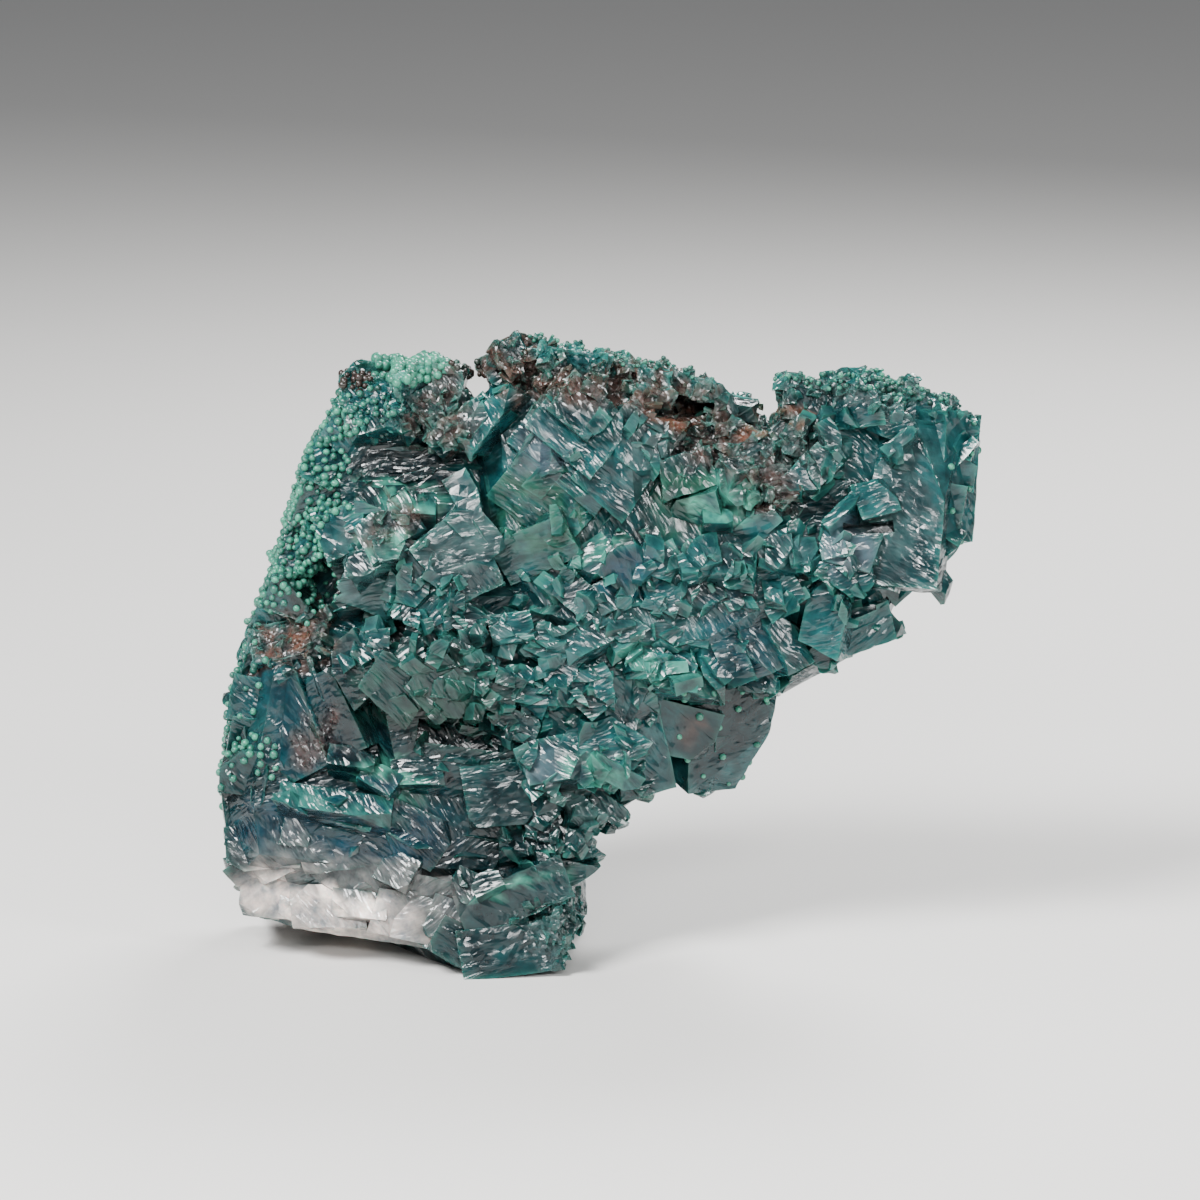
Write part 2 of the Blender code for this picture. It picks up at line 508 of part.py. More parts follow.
def add_beads(surface, chance, collection):
    """Round beads fused in a crust along the left flank, on the top left and along the lobe."""
    for name, (count, ranges, way) in BEADS.items():
        for place, normal in growth_places(surface, count, ranges, way, chance):
            radius = chance.uniform(*BEAD_RADIUS)
            bm = bmesh.new()
            bmesh.ops.create_icosphere(bm, subdivisions=1, radius=radius)
            turned = Matrix.Rotation(chance.uniform(0, math.pi), 4, "X")
            middle = place - normal * radius * BEAD_SINK
            bm.transform(Matrix.Translation(middle) @ turned)
            hidden_object(name, bm, collection)


def keep_outer_skin(mesh):
    """Drops small sealed gaps between crystals, which the mass closes over."""
    bm = bmesh.new()
    bm.from_mesh(mesh)
    groups, seen_verts = [], set()
    for first in bm.verts:
        if first in seen_verts:
            continue
        group, waiting = {first}, [first]
        while waiting:
            vert = waiting.pop()
            for edge in vert.link_edges:
                other = edge.other_vert(vert)
                if other not in group:
                    group.add(other)
                    waiting.append(other)
        seen_verts |= group
        groups.append(group)
    largest = max(groups, key=len)
    extra = [vert for vert in bm.verts if vert not in largest]
    bmesh.ops.delete(bm, geom=extra, context="VERTS")
    bmesh.ops.triangulate(bm, faces=bm.faces)
    bm.to_mesh(mesh)
    bm.free()


def level_cut(solid):
    """Stands the mass up and cuts it level at the foot."""
    solid.data.transform(Matrix.Rotation(-VIEW_TILT, 4, "X"))
    ground = new_collection("ground")
    bm = bmesh.new()
    bmesh.ops.create_cube(bm, size=1)
    below = Matrix.Translation((0, 0, foot_level() - CUT_DEPTH / 2))
    bm.transform(below @ Matrix.Diagonal((CUT_WIDTH, CUT_WIDTH, CUT_DEPTH, 1)))
    hidden_object("ground", bm, ground)
    return merged("standing", ground, "DIFFERENCE", solid)


def centred(solid):
    """Moves the middle of the bounding box's bottom to the origin and sets the real size."""
    corners = [vert.co for vert in solid.data.vertices]
    low = Vector([min(corner[axis] for corner in corners) for axis in range(3)])
    high = Vector([max(corner[axis] for corner in corners) for axis in range(3)])
    middle = Vector(((low.x + high.x) / 2, (low.y + high.y) / 2, low.z))
    unit = SPECIMEN_WIDTH / (high.x - low.x)
    solid.data.transform(Matrix.Scale(unit, 4) @ Matrix.Translation(-middle))


def add_hollows(chance, collection):
    for across, up, depth, length, width, thickness, roll, turn, lean in HOLLOWS:
        axes = frame_of(facing(turn, lean), roll)
        place, size = seen(across, up, depth), (length, width, thickness)
        crystal("hollow", place, size, axes, chance, collection, FRONT_CORNER_CUTS)


def build():
    clear_scene()
    chance = random.Random(SEED)
    grown = new_collection("grown")
    add_chunks(chance, grown)
    add_rim(chance, grown)
    add_crystals(chance, grown)
    start = grown.objects[0]
    grown.objects.unlink(start)
    bpy.context.scene.collection.objects.link(start)
    bulk = merged("bulk", grown, "UNION", start)
    cuts = new_collection("cuts")
    add_hollows(chance, cuts)
    hollowed = merged("hollowed", cuts, "DIFFERENCE", bulk)
    keep_outer_skin(hollowed.data)
    surface = surface_of(hollowed)
    late = new_collection("late")
    add_scatter(surface, chance, late)
    add_beads(surface, chance, late)
    crusted = merged("crusted", late, "UNION", hollowed)
    solid = level_cut(crusted)
    keep_outer_skin(solid.data)
    centred(solid)
    solid.name = solid.data.name = NODE_NAME
    solid.hide_render = False
    solid.data.materials.clear()
    solid.data.materials.append(crystal_material())


build()
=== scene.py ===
"""The dressed apophyllite specimen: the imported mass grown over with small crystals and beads, on a
plain pale floor."""

import json
import math
import random

import bmesh
import bpy
import numpy as np
from mathutils import Matrix, Vector, noise
from mathutils.bvhtree import BVHTree

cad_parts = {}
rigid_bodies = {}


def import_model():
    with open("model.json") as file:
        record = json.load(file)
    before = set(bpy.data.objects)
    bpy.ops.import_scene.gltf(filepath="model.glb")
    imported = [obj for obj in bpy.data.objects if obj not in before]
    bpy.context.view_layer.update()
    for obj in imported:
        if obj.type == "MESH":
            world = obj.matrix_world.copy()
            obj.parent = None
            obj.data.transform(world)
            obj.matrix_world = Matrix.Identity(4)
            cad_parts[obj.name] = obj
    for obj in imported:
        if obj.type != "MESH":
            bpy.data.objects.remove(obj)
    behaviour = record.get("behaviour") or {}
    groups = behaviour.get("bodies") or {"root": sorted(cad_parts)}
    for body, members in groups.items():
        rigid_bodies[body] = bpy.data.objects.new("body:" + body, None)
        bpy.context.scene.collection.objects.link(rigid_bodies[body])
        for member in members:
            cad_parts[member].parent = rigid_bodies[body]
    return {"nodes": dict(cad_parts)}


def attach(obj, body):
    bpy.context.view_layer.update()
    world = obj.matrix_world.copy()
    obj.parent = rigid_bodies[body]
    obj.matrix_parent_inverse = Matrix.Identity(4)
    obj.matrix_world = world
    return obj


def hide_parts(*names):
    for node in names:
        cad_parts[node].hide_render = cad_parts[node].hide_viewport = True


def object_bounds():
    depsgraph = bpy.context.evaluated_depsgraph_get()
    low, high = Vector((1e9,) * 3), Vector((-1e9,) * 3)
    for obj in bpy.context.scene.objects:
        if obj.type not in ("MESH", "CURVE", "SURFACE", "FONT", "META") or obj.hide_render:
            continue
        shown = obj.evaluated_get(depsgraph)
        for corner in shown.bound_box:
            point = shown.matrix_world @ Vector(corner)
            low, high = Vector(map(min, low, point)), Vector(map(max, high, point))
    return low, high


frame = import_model()
cad_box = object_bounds()

NODE, BODY, SLOT = "crystal_cluster", "root", "teal_crystal"
MM = 0.001
SEED = 5
noise.seed_set(SEED)

# The viewer looks down by VIEW_TILT. Zones are given in the drawn millimetres that the viewer
# sees, across (+ right) and up, and DRAWN_MIDDLE is the drawn place of the row frame's origin.
VIEW_TILT = math.radians(12)
DRAWN_MIDDLE = Vector((0.12, 9.75, 3.12))

# How small crystals grow, in millimetres: length, width over length, rise, tilt out of the surface
# in degrees, turn from the facet's own long side in degrees
GROWTH = {
    "plate": ((2.5, 8.0), (0.4, 0.9), (0.06, 0.4), 6, 8),
    "strip": ((4.0, 11.0), (0.1, 0.22), (0.06, 0.4), 6, 6),
    "corner": ((1.4, 5.0), (0.5, 1.0), (0.2, 1.1), 20, 60),
    "blade": ((2.0, 6.0), (0.25, 0.5), (0.2, 1.0), 18, 60),
    "grain": ((0.8, 2.2), (0.6, 1.0), (0.1, 0.6), 30, 90),
}
THICKNESS = 2.4
TEMPLATES = 14  # different shapes of each kind
SKEW = (0.1, 0.38)  # how far a crystal's outline leans over, as a share of its length
CHIP_SHARE = 0.6  # this share of crystals has the outline of a chip, strips apart
CHIP_REACH, CHIP_WAVER = 0.58, 0.28  # how far out a chip's corners lie, and how unevenly

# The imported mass: the distance below which two points are one, the angle below which triangles
# are one facet, before and after growing, the smallest facet in square millimetres, and the
# height up to which nothing grows on the level cut
SAME_POINT = 1e-4
FACET_ANGLE, SKIN_ANGLE = math.radians(1.0), math.radians(0.5)
SMALLEST_FACET = 0.2
CUT_HEIGHT = 0.3
DECIMALS = 4  # places are rounded to these, so that each run gives the same mesh
BACK_GROWTH, BACK_SPLIT = 0.15, 0.35  # a facet counts as hidden from this normal y on

# Heights in millimetres of the growth ridges, of the slow waver of the whole surface and of the
# crumbs in granular zones, and how fast each changes per millimetre. The ridges change at one
# rate along the growth lines and at another across them.
RIDGE, WAVER, CRUMB = 0.3, 0.2, 0.7
LINE_SCALE, FINE_SCALE = (0.16, 0.75), (0.5, 2.1)
LINE_SHARE, FINE_SHARE, LINE_LEVEL = 0.7, 0.6, 0.4
WAVER_SCALE, CRUMB_SCALE, CALM_SCALE = 0.55, 1.1, 0.13
LEAST_CALM = 0.1
EDGE_AGREEMENT, EDGE_FADE = 0.98, 0.015  # ridges fade where the facets at a point differ
RISE_ABOVE_CUT = 2.0  # ridges reach their full height this far above the level cut

# A facet's own number comes from the way it faces. By that number its growth lines turn to one
# of two sides, in radians, and a little further.
NORMAL_STEPS = 40
SHUFFLE, SHUFFLE_SCALE = (12.9898, 78.233, 37.719), 43758.5453
SIDEWAYS_NORMAL = 0.3
LINE_TURNS, LINE_TURN_SPREAD = (-0.9, 0.5), 1.2
OWN_RANGE, OWN_FINE_RANGE = 90, 50  # how far apart facets lie in the noise
SHUFFLE_UP, SHUFFLE_TINT = 7.3, 3.7  # these make further numbers from a facet's own

# How noise moves the borders of zones and patches: its scale, its reach in millimetres, and how
# much the reach grows per millimetre behind the foremost crystals
ZONE_DRIFT = (0.12, 3.0, 0.5)
PATCH_DRIFT = (0.1, 2.0, 0.55)
FINE_DRIFT = (0.45, 2.2)
BEAD_DRIFT = (0.25, 2.5)
FRONT_DEPTH = -12.0

# Where the surface isn't covered in plates and strips, as the viewer sees it: (across, up, half
# length, half width, roll in degrees)
ZONES = {
    "sharp": [
        (-2, 56, 36, 6.5, 14), (-12, 41, 13, 7, 10), (8, 79.5, 5, 4, -40), (31, 78, 6, 5, 0),
        (-3, 25, 9, 3.5, -20), (-9, 20, 7, 4, 0), (11, 46, 8, 4, -20), (-2, 36, 8, 6, -30),
        (32, 58, 6, 5, 30), (-28, 57, 8, 4, 30),
    ],
    "granular": [
        (0, 88.5, 17, 4.2, -6), (-12.5, 92, 4.5, 4, 0), (16.5, 80, 5, 4.5, -40),
        (25, 73, 5, 4, -30), (-23.5, 83.5, 5, 5, 0), (-46, 51, 7, 4, 0), (-42, 36, 3, 4, 0),
        (42, 87, 15, 3, -6), (6, 91.5, 19, 2, -10), (-35.7, 89.3, 3.5, 3, 0), (-7, 7, 6, 5, 20),
        (-32, 86, 7, 5, 0), (-31, 67.4, 4, 2, 28), (26, 80, 7, 4, -20),
    ],
    "smooth": [
        (18, 36, 9, 9, 0), (53.5, 74, 3.5, 11, -8), (-38, 38, 3, 8, 10), (3.8, 61.2, 3.6, 3, 0),
        (-19, 70.5, 5, 2.5, -60), (22.8, 67, 4, 2, 38), (14, 69.5, 4, 2.6, 15),
        (20.2, 72.8, 3, 3, 0), (30.5, 53, 3, 4.5, -10), (37, 64, 3.5, 3.3, 0),
        (-7.3, 32.8, 4, 3.6, 0), (-15.2, 27.5, 4.6, 4.6, 0), (46, 51.5, 4, 3, 0),
        (-14, 12.3, 9, 3.6, 20), (-36, 11, 4.6, 2.6, 5), (-2.8, 84.3, 4, 3.5, -38),
        (-47, 38, 3.6, 9, 28), (-13, 4.6, 7, 3.2, 10), (-41, 10, 15, 5.5, -8), (46, 70, 5, 12, -8),
    ],
}
MIX = {  # the share of each kind of crystal, and how many grow on a square millimetre
    "plain": ({"plate": 0.45, "strip": 0.35, "corner": 0.2}, 0.04),
    "sharp": ({"corner": 0.5, "blade": 0.35, "plate": 0.15}, 0.16),
    "granular": ({"grain": 0.8, "corner": 0.2}, 0.28),
    "smooth": ({"plate": 1.0}, 0.004),
}
HIDDEN_SHARE = 0.6  # the back has this share of the front's crystals and of its fineness

# Edges longer than SPLIT_LENGTH millimetres are split, in SPLIT_ROUNDS rounds. Along the growth
# lines a length counts as ALONG_SHARE of itself.
SPLIT_LENGTH, SPLIT_ROUNDS = 0.95, 4
ALONG_SHARE = 0.25

PALETTE = {  # linear colours
    "deep": (0.002, 0.017, 0.021),
    "teal": (0.006, 0.064, 0.070),
    "mint": (0.06, 0.30, 0.225),
    "blue": (0.002, 0.024, 0.045),
    "green": (0.008, 0.050, 0.030),
    "brown": (0.060, 0.034, 0.027),
    "white": (0.36, 0.35, 0.335),
    # The lightest white: a painted highlight on the facets of the white base that catch the light.
    "painted_highlight_white": (0.78, 0.75, 0.70),
    "grey": (0.11, 0.125, 0.125),
    "clear": (0.005, 0.060, 0.066),
    "rust": (0.17, 0.055, 0.02),
    # A greyer teal: partly the faces' own tone, partly painted sheen where faces shine silvery.
    "grey_tone_and_sheen": (0.045, 0.075, 0.075),
    # Near black: the black-brown knobs' own colour, and also painted shade in hollows, under the
    # overhang and over the lower half.
    "dark_and_painted_shade": (0.002, 0.006, 0.008),
    "lavender": (0.07, 0.095, 0.125),
}
WHOLE_COLOURS = ("white", "painted_highlight_white", "dark_and_painted_shade")  # these patches aren't broken up by noise
DULL_COLOURS = ("white", "painted_highlight_white", "grey", "brown", "grey_tone_and_sheen", "dark_and_painted_shade")  # their thin edges glow less
FROSTED_COLOURS = ("white", "grey")  # these stay hackly in smooth zones
# Patches of colour as the viewer sees them: (colour, across, up, half length, half width, roll,
# strength). Later ones lie over earlier ones.
PATCHES = [
    # Painted shade: the first two near-black patches broadly darken the lower left and the lower
    # middle, where shade falls.
    ("dark_and_painted_shade", -36, 28, 24, 24, 0, 0.55), ("dark_and_painted_shade", -6, 14, 22, 14, 0, 0.5),
    ("blue", -40, 23, 17, 6, 0, 0.7), ("blue", -45, 38, 7, 12, 20, 0.4),
    # Painted shade: the near-black patches at (-31, 75), a recess below the arm, at (-22, 37.5), under
    # the overhang, and at (-43, 58) and (-30.6, 51.4), hollows, stand for the shadow there.
    ("dark_and_painted_shade", -38, 40, 3.4, 9, 15, 0.7), ("dark_and_painted_shade", -31, 75, 9, 4, 5, 0.85),
    ("dark_and_painted_shade", -22, 37.5, 8, 3, -6, 0.9), ("dark_and_painted_shade", -43, 58, 4, 3, -60, 0.9),
    ("dark_and_painted_shade", -30.6, 51.4, 3, 1.6, 75, 0.9), ("green", -9, 68, 7, 7, -30, 0.8),
    # Painted shade: the near-black patch at (39.4, 67.5) darkens a pocket in the lobe.
    ("green", 13, 71, 6, 4, 0, 0.8), ("dark_and_painted_shade", 39.4, 67.5, 4, 1.2, 8, 0.6),
    ("green", -26, 43, 11, 6, 0, 0.45), ("mint", -30, 30.2, 4.6, 1.6, 0, 0.6),
    ("mint", -39, 26.5, 9, 1.8, -10, 0.3), ("mint", -31, 64, 3, 2.4, 20, 0.9),
    # The greyer teal patches are partly the faces' own tone and partly painted sheen, where faces shine
    # silvery.
    ("mint", -30, 71, 6, 1.4, -3, 0.6), ("grey_tone_and_sheen", -20.5, 64, 6, 6.4, 40, 0.55),
    ("brown", -31, 67.4, 5, 2.6, 28, 0.8), ("grey_tone_and_sheen", -34, 60, 8, 5, 20, 0.4),
    ("mint", -31, 90, 5, 2.6, 0, 0.75), ("mint", -26, 91, 4, 2.4, 0, 0.75),
    ("teal", -33, 84.5, 5, 4, 0, 0.7), ("brown", -23, 83.5, 5, 4.6, 0, 0.75),
    ("dark_and_painted_shade", -35.7, 89.3, 3, 2.4, 0, 0.7), ("brown", -21.5, 90.5, 3, 2.6, 0, 0.7),
    ("brown", -12.5, 91.5, 4.6, 4.2, 0, 0.95), ("brown", 2, 88, 17, 4, -6, 0.9),
    ("brown", 16.5, 80.5, 5.4, 5, -40, 0.8), ("brown", 25, 73, 5, 4, -30, 0.7),
    # Painted shade: the near-black patch at (12.4, 83.6) darkens a hollow.
    ("brown", 26, 81, 7, 3.6, -20, 0.55), ("dark_and_painted_shade", 12.4, 83.6, 5, 2, -12, 0.8),
    ("teal", 7, 91.8, 20, 1.5, -10, 0.8), ("grey_tone_and_sheen", 42, 87, 15, 2.6, -6, 0.55),
    ("lavender", -9, 78.5, 3, 5, 25, 0.5), ("grey_tone_and_sheen", 8, 79.5, 6, 5, -40, 0.5),
    ("mint", 20.2, 72.4, 3, 2.4, 0, 0.6), ("mint", 17.3, 68.5, 2.4, 1.2, 5, 0.8),
    ("grey_tone_and_sheen", 31, 79, 6, 4, 0, 0.5), ("lavender", 36, 64, 4.4, 3.4, 0, 0.55),
    ("grey_tone_and_sheen", 45, 70, 6, 11, -6, 0.25), ("grey_tone_and_sheen", 22, 63.5, 12, 2.4, 8, 0.4),
    ("blue", 3.8, 61, 3.4, 3, 0, 0.9), ("mint", -0.5, 63, 3, 1.6, 20, 0.6),
    ("grey_tone_and_sheen", -3, 52, 24, 4, 15, 0.28), ("blue", 21, 48.5, 7, 5, -60, 0.5),
    ("mint", 9, 46.5, 7, 2, -20, 0.45), ("deep", 18, 36, 9, 9, 0, 0.95),
    ("dark_and_painted_shade", 20, 35, 8, 8, 0, 0.4), ("brown", 11.5, 35.5, 3.4, 2.6, -20, 0.55),
    ("mint", 0.5, 32, 5, 1.6, -35, 0.6),
    ("lavender", -7.3, 32.8, 3.6, 3.4, 0, 0.4), ("dark_and_painted_shade", -15.2, 27.5, 4, 4, 0, 0.5),
    ("grey_tone_and_sheen", -4, 25, 6, 3, -20, 0.45), ("dark_and_painted_shade", -9, 20, 6, 3, 0, 0.5),
    ("mint", -13, 14.6, 8, 0.9, 20, 0.5), ("brown", -46, 51, 6, 3.6, 0, 0.85),
    ("brown", -42, 36, 2.6, 4, 0, 0.6), ("grey_tone_and_sheen", -7, 7.5, 5, 4, 20, 0.35),
    ("grey", -37, 14.5, 17, 4.6, -8, 0.8), ("white", -42, 9.5, 14, 4.8, -10, 1.0),
    # Painted highlight: the two patches of the lightest white mark the facets of the white base that
    # catch the light.
    ("grey", -27, 12.5, 5, 4.5, -30, 0.6), ("painted_highlight_white", -35.5, 11, 4, 1.9, -5, 0.9),
    ("painted_highlight_white", -47, 12, 4, 1.4, -12, 0.4), ("clear", 53.5, 74, 3.5, 10, -8, 0.8),
    ("rust", 23, 82, 3, 1.2, -10, 0.5), ("rust", 30, 82, 2.4, 1, 0, 0.5),
    ("rust", -46, 50, 2.5, 1.6, 0, 0.25), ("rust", 12, 84, 4, 1.4, -12, 0.3),
]

FACET_SHIFT = 3.5  # a facet's own number moves it this far in the field of colours
TEAL_SHARE, TEAL_SPREAD = 0.45, 0.7  # how much of the ground colour is teal, and how unevenly
ZONE_END, ZONE_BORDER = 1.15, 0.3  # a zone ends here, as a share of its size, and fades over this
PATCH_END, PATCH_BORDER = 1.25, 0.5
BREAK_UP = (0.8, 1.4, 0.25)  # how noise breaks up a patch: level, spread, least
DULLED, SMOOTHED = 0.85, 0.8  # how far dull colours lose their glow and smooth zones their lines

# Beads as the viewer sees them: (across, up, half length, half width, roll, spacing, radii, tones).
# The tone runs from -1, black-brown, over 0, deep green, to 1 and more, mint.
BEADS = [
    (-44, 71, 17, 5.5, 72, 0.95, (0.42, 0.66), (0, 1)),
    (-54, 42, 17, 3.4, 80, 1.9, (0.42, 0.66), (0, 0.8)),
    (-50.5, 34, 3, 3.4, 0, 1.2, (0.42, 0.66), (0.2, 1)),
    (-43, 58, 4, 4.5, -30, 1.7, (0.4, 0.6), (0.2, 1)),
    (-29.8, 90.5, 3.6, 2.2, 0, 0.9, (0.45, 0.95), (0.3, 1.0)),
    (-25.4, 91, 3, 1.8, 0, 0.9, (0.45, 0.9), (0.3, 1.0)),
    (-34, 84.5, 3, 3, 0, 1.0, (0.35, 0.6), (-0.2, 0.6)),
    (-35.7, 89.3, 2.6, 2.2, 0, 0.85, (0.35, 0.75), (-1, -0.6)),
    (42, 88, 15, 1.6, -6, 0.85, (0.26, 0.48), (-0.3, 0.8)),
    (7, 92.2, 20, 0.9, -9, 0.75, (0.26, 0.42), (-0.3, 0.6)),
    (54.5, 74, 3, 10, -8, 4.5, (0.4, 0.65), (0.3, 1)),
    (18.5, 36, 8, 8, 0, 3.8, (0.35, 0.6), (0.4, 1.2)),
    (-20.5, 91, 2.6, 1.4, 0, 1.0, (0.3, 0.6), (-1, -0.2)),
]
BEAD_CANDIDATES = 90000
BEAD_RISE = 0.3  # a bead's middle lies this share of its radius above the surface
BEAD_STRETCH = (0.85, 1.12)
BOX_MARGIN = 0.2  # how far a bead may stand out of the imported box

# The crystal's surface: cells per millimetre along and across the growth lines, how far each kind
# of cell tilts the surface, and the crumbs and clouds per metre
LINE_CELLS, CHIP_CELLS = (0.2, 3.9, 1), (0.9, 1.5, 1)
LINE_TILT, CHIP_TILT, CRUMB_TILT = 0.68, 0.16, 0.9
BEND_SCALE, BEND_REACH = (0.14, 0.14, 1), (0, 4, 0)
PATCHY_SCALE, PATCHY_RANGE = (0.12, 0.16, 1), (0.3, 0.62)
CRUMB_CELLS, CLOUD_SCALE = 1500.0, 420.0
CLOUD_DARK, CLOUD_LIGHT = (0.45, 0.5, 0.55, 1), (1.7, 1.5, 1.4, 1)
EDGE_DEPTH, EDGE_GLOW = 0.0013, 0.4  # in metres, and the most mint that an edge takes on
EDGE_RANGE = (0.75, 0.1)  # how much of the inside is open where the glow starts and where it's full
ROUGHNESS, CHIP_ROUGHNESS, GRIT_ROUGHNESS = 0.13, 0.12, 0.06
BEAD_DARK_GREEN, BEAD_MINT = (0.010, 0.075, 0.058, 1), (0.065, 0.30, 0.20, 1)
BEAD_BLACK = (0.022, 0.014, 0.011, 1)
BEAD_MINT_TONES, BEAD_GREEN_TONES = (0, 1.4), (-0.7, 0)  # from none to all of that colour

# The studio, in metres and watts: place, size, power
LIGHTS = {
    "key": ((-0.35, -0.35, 0.55), (0.24, 0.24), 12.5),
    "fill": ((0.55, -0.4, 0.3), (0.14, 0.24), 3),
    "front": ((0.05, -0.75, 0.42), (0.4, 0.08), 4),
    "rim": ((0.2, 0.45, 0.5), (0.3, 0.2), 6),
}
LIT_POINT = Vector((0, 0, 0.045))
SKY_COLOUR, SKY_STRENGTH = (0.8, 0.82, 0.85, 1), 0.25
FLOOR_COLOUR, FLOOR_ROUGHNESS, FLOOR_REACH = (0.72, 0.71, 0.69, 1), 0.6, 3

# The picture: its width and the height of its middle in drawn millimetres, the lens and sensor
FRAME_WIDTH, FRAME_MIDDLE_UP = 180.0, 56.25
LENS, SENSOR = 150, 36


def as_seen(points):
    """Across, up and depth of points, given in millimetres of the row frame."""
    y, z = points[:, 1] + DRAWN_MIDDLE.y, points[:, 2] + DRAWN_MIDDLE.z
    depth = y * math.cos(VIEW_TILT) - z * math.sin(VIEW_TILT)
    up = y * math.sin(VIEW_TILT) + z * math.cos(VIEW_TILT)
    return points[:, 0] + DRAWN_MIDDLE.x, up, depth


def noise_at(points, scale):
    """Random vectors that change slowly from point to point."""
    return np.array([noise.noise_vector(Vector(point) * scale) for point in points])


def reach_behind(depth, drift):
    """How far noise moves a border at this depth."""
    _, reach, growth = drift
    return reach + np.clip(depth - FRONT_DEPTH, 0, None) * growth


def within(zone, across, up):
    """Below 1 inside a zone, given as in ZONES."""
    middle_across, middle_up, length, width, roll = zone
    roll = math.radians(roll)
    right, top = across - middle_across, up - middle_up
    along = right * math.cos(roll) + top * math.sin(roll)
    aside = top * math.cos(roll) - right * math.sin(roll)
    return np.hypot(along / length, aside / width)


def weight_in(zone, across, up, end=ZONE_END, border=ZONE_BORDER):
    """1 inside a zone and 0 outside, with a soft border."""
    return np.clip((end - within(zone, across, up)) / border, 0, 1)


def zones_at(points):
    """The kind of zone that each point lies in."""
    across, up, depth = as_seen(points)
    drift = noise_at(points, ZONE_DRIFT[0]) * reach_behind(depth, ZONE_DRIFT)[:, None]
    across, up = across + drift[:, 0], up + drift[:, 1]
    kinds = np.full(len(points), "plain", object)
    for kind in ("granular", "sharp", "smooth"):
        for zone in ZONES[kind]:
            kinds[within(zone, across, up) < 1] = kind
    return kinds


def drifted(points):
    """Where the viewer sees the points, moved about so that patches have natural borders and
    don't run straight through to the back."""
    across, up, depth = as_seen(points)
    fine = noise_at(points, FINE_DRIFT[0])
    broad = noise_at(points, PATCH_DRIFT[0])
    reach = reach_behind(depth, PATCH_DRIFT)
    across = across + fine[:, 0] * FINE_DRIFT[1] + broad[:, 0] * reach
    up = up + fine[:, 1] * FINE_DRIFT[1] + broad[:, 1] * reach
    return across, up, fine, broad


def grit_at(across, up):
    """How granular the surface is."""
    weights = [weight_in(zone, across, up) for zone in ZONES["granular"]]
    return np.max(weights, axis=0)


def vertex_array(mesh):
    points = np.empty(len(mesh.vertices) * 3, np.float32)
    mesh.vertices.foreach_get("co", points)
    return points.reshape(-1, 3).astype(float)


def normal_array(mesh):
    normals = np.empty(len(mesh.polygons) * 3, np.float32)
    mesh.polygons.foreach_get("normal", normals)
    return normals.reshape(-1, 3).astype(float)


def corner_array(mesh):
    """The point at each corner of each face."""
    corners = np.empty(len(mesh.loops), np.int32)
    mesh.loops.foreach_get("vertex_index", corners)
    return corners


def dot(first, second):
    return np.einsum("ij,ij->i", first, second)


def cut_away(bm, point, normal):
    everything = bm.verts[:] + bm.edges[:] + bm.faces[:]
    cut = bmesh.ops.bisect_plane(
        bm, geom=everything, plane_co=point, plane_no=normal, clear_outer=True
    )
    rim = [item for item in cut["geom_cut"] if isinstance(item, bmesh.types.BMEdge)]
    if rim:
        bmesh.ops.contextual_create(bm, geom=rim)


def prism(outline):
    """A closed block of thickness 1 below this outline."""
    bm = bmesh.new()
    top = bm.faces.new([bm.verts.new((x, y, 0)) for x, y in outline])
    made = bmesh.ops.extrude_face_region(bm, geom=[top])
    lowered = [item for item in made["geom"] if isinstance(item, bmesh.types.BMVert)]
    bmesh.ops.translate(bm, verts=lowered, vec=(0, 0, -1))
    return bm


def leaning_outline(skew):
    """A parallelogram with sides of about 1."""
    lean = skew / 2
    return [(-0.5 - lean, -0.5), (0.5 - lean, -0.5), (0.5 + lean, 0.5), (-0.5 + lean, 0.5)]


def chip_outline(chance):
    """Three to five corners round a circle."""
    count = chance.choice((3, 4, 4, 5))
    turn = chance.uniform(0, math.tau)
    outline = []
    for step in range(count):
        angle = turn + (step + chance.uniform(-CHIP_WAVER, CHIP_WAVER)) * math.tau / count
        outline.append((math.cos(angle) * CHIP_REACH, math.sin(angle) * CHIP_REACH))
    return outline


def bevel_strip(bm, chance):
    """Two long slopes that meet in a ridge, and a slanting end."""
    side = chance.uniform(-0.3, 0.3)
    cut_away(bm, Vector((0, side, 0)), Vector((chance.uniform(-0.1, 0.1), 1, 4)))
    cut_away(bm, Vector((0, side, 0)), Vector((chance.uniform(-0.1, 0.1), -1, 6)))
    cut_away(bm, Vector((0.42, 0, 0)), Vector((1, chance.uniform(-0.4, 0.4), 0.5)))


def bevel_blade(bm, chance):
    """A point at one end."""
    for normal in ((1, 1.3, 0), (1, -1, 0), (1, 0, 0.6)):
        cut_away(bm, Vector((0.5, 0, -0.2)), Vector(normal))


def bevel_plate(bm, chance):
    """One corner cut off."""
    corner = Vector((chance.choice((-1, 1)), chance.choice((-1, 1)), 0))
    reach = chance.uniform(0.3, 0.8) / 2
    cut_away(bm, corner * reach, Vector((corner.x, corner.y * chance.uniform(0.5, 1), 0.5)))


def bevel_corner(bm, chance):
    """Two steep slopes that leave a sharp corner."""
    first, second = chance.uniform(0, math.tau), chance.uniform(1.6, 2.6)
    for angle in (first, first + second):
        normal = Vector((math.cos(angle), math.sin(angle), chance.uniform(0.9, 1.8)))
        cut_away(bm, Vector((0, 0, 0)), normal)


BEVELS = {
    "plate": bevel_plate,
    "strip": bevel_strip,
    "corner": bevel_corner,
    "blade": bevel_blade,
    "grain": bevel_corner,
}


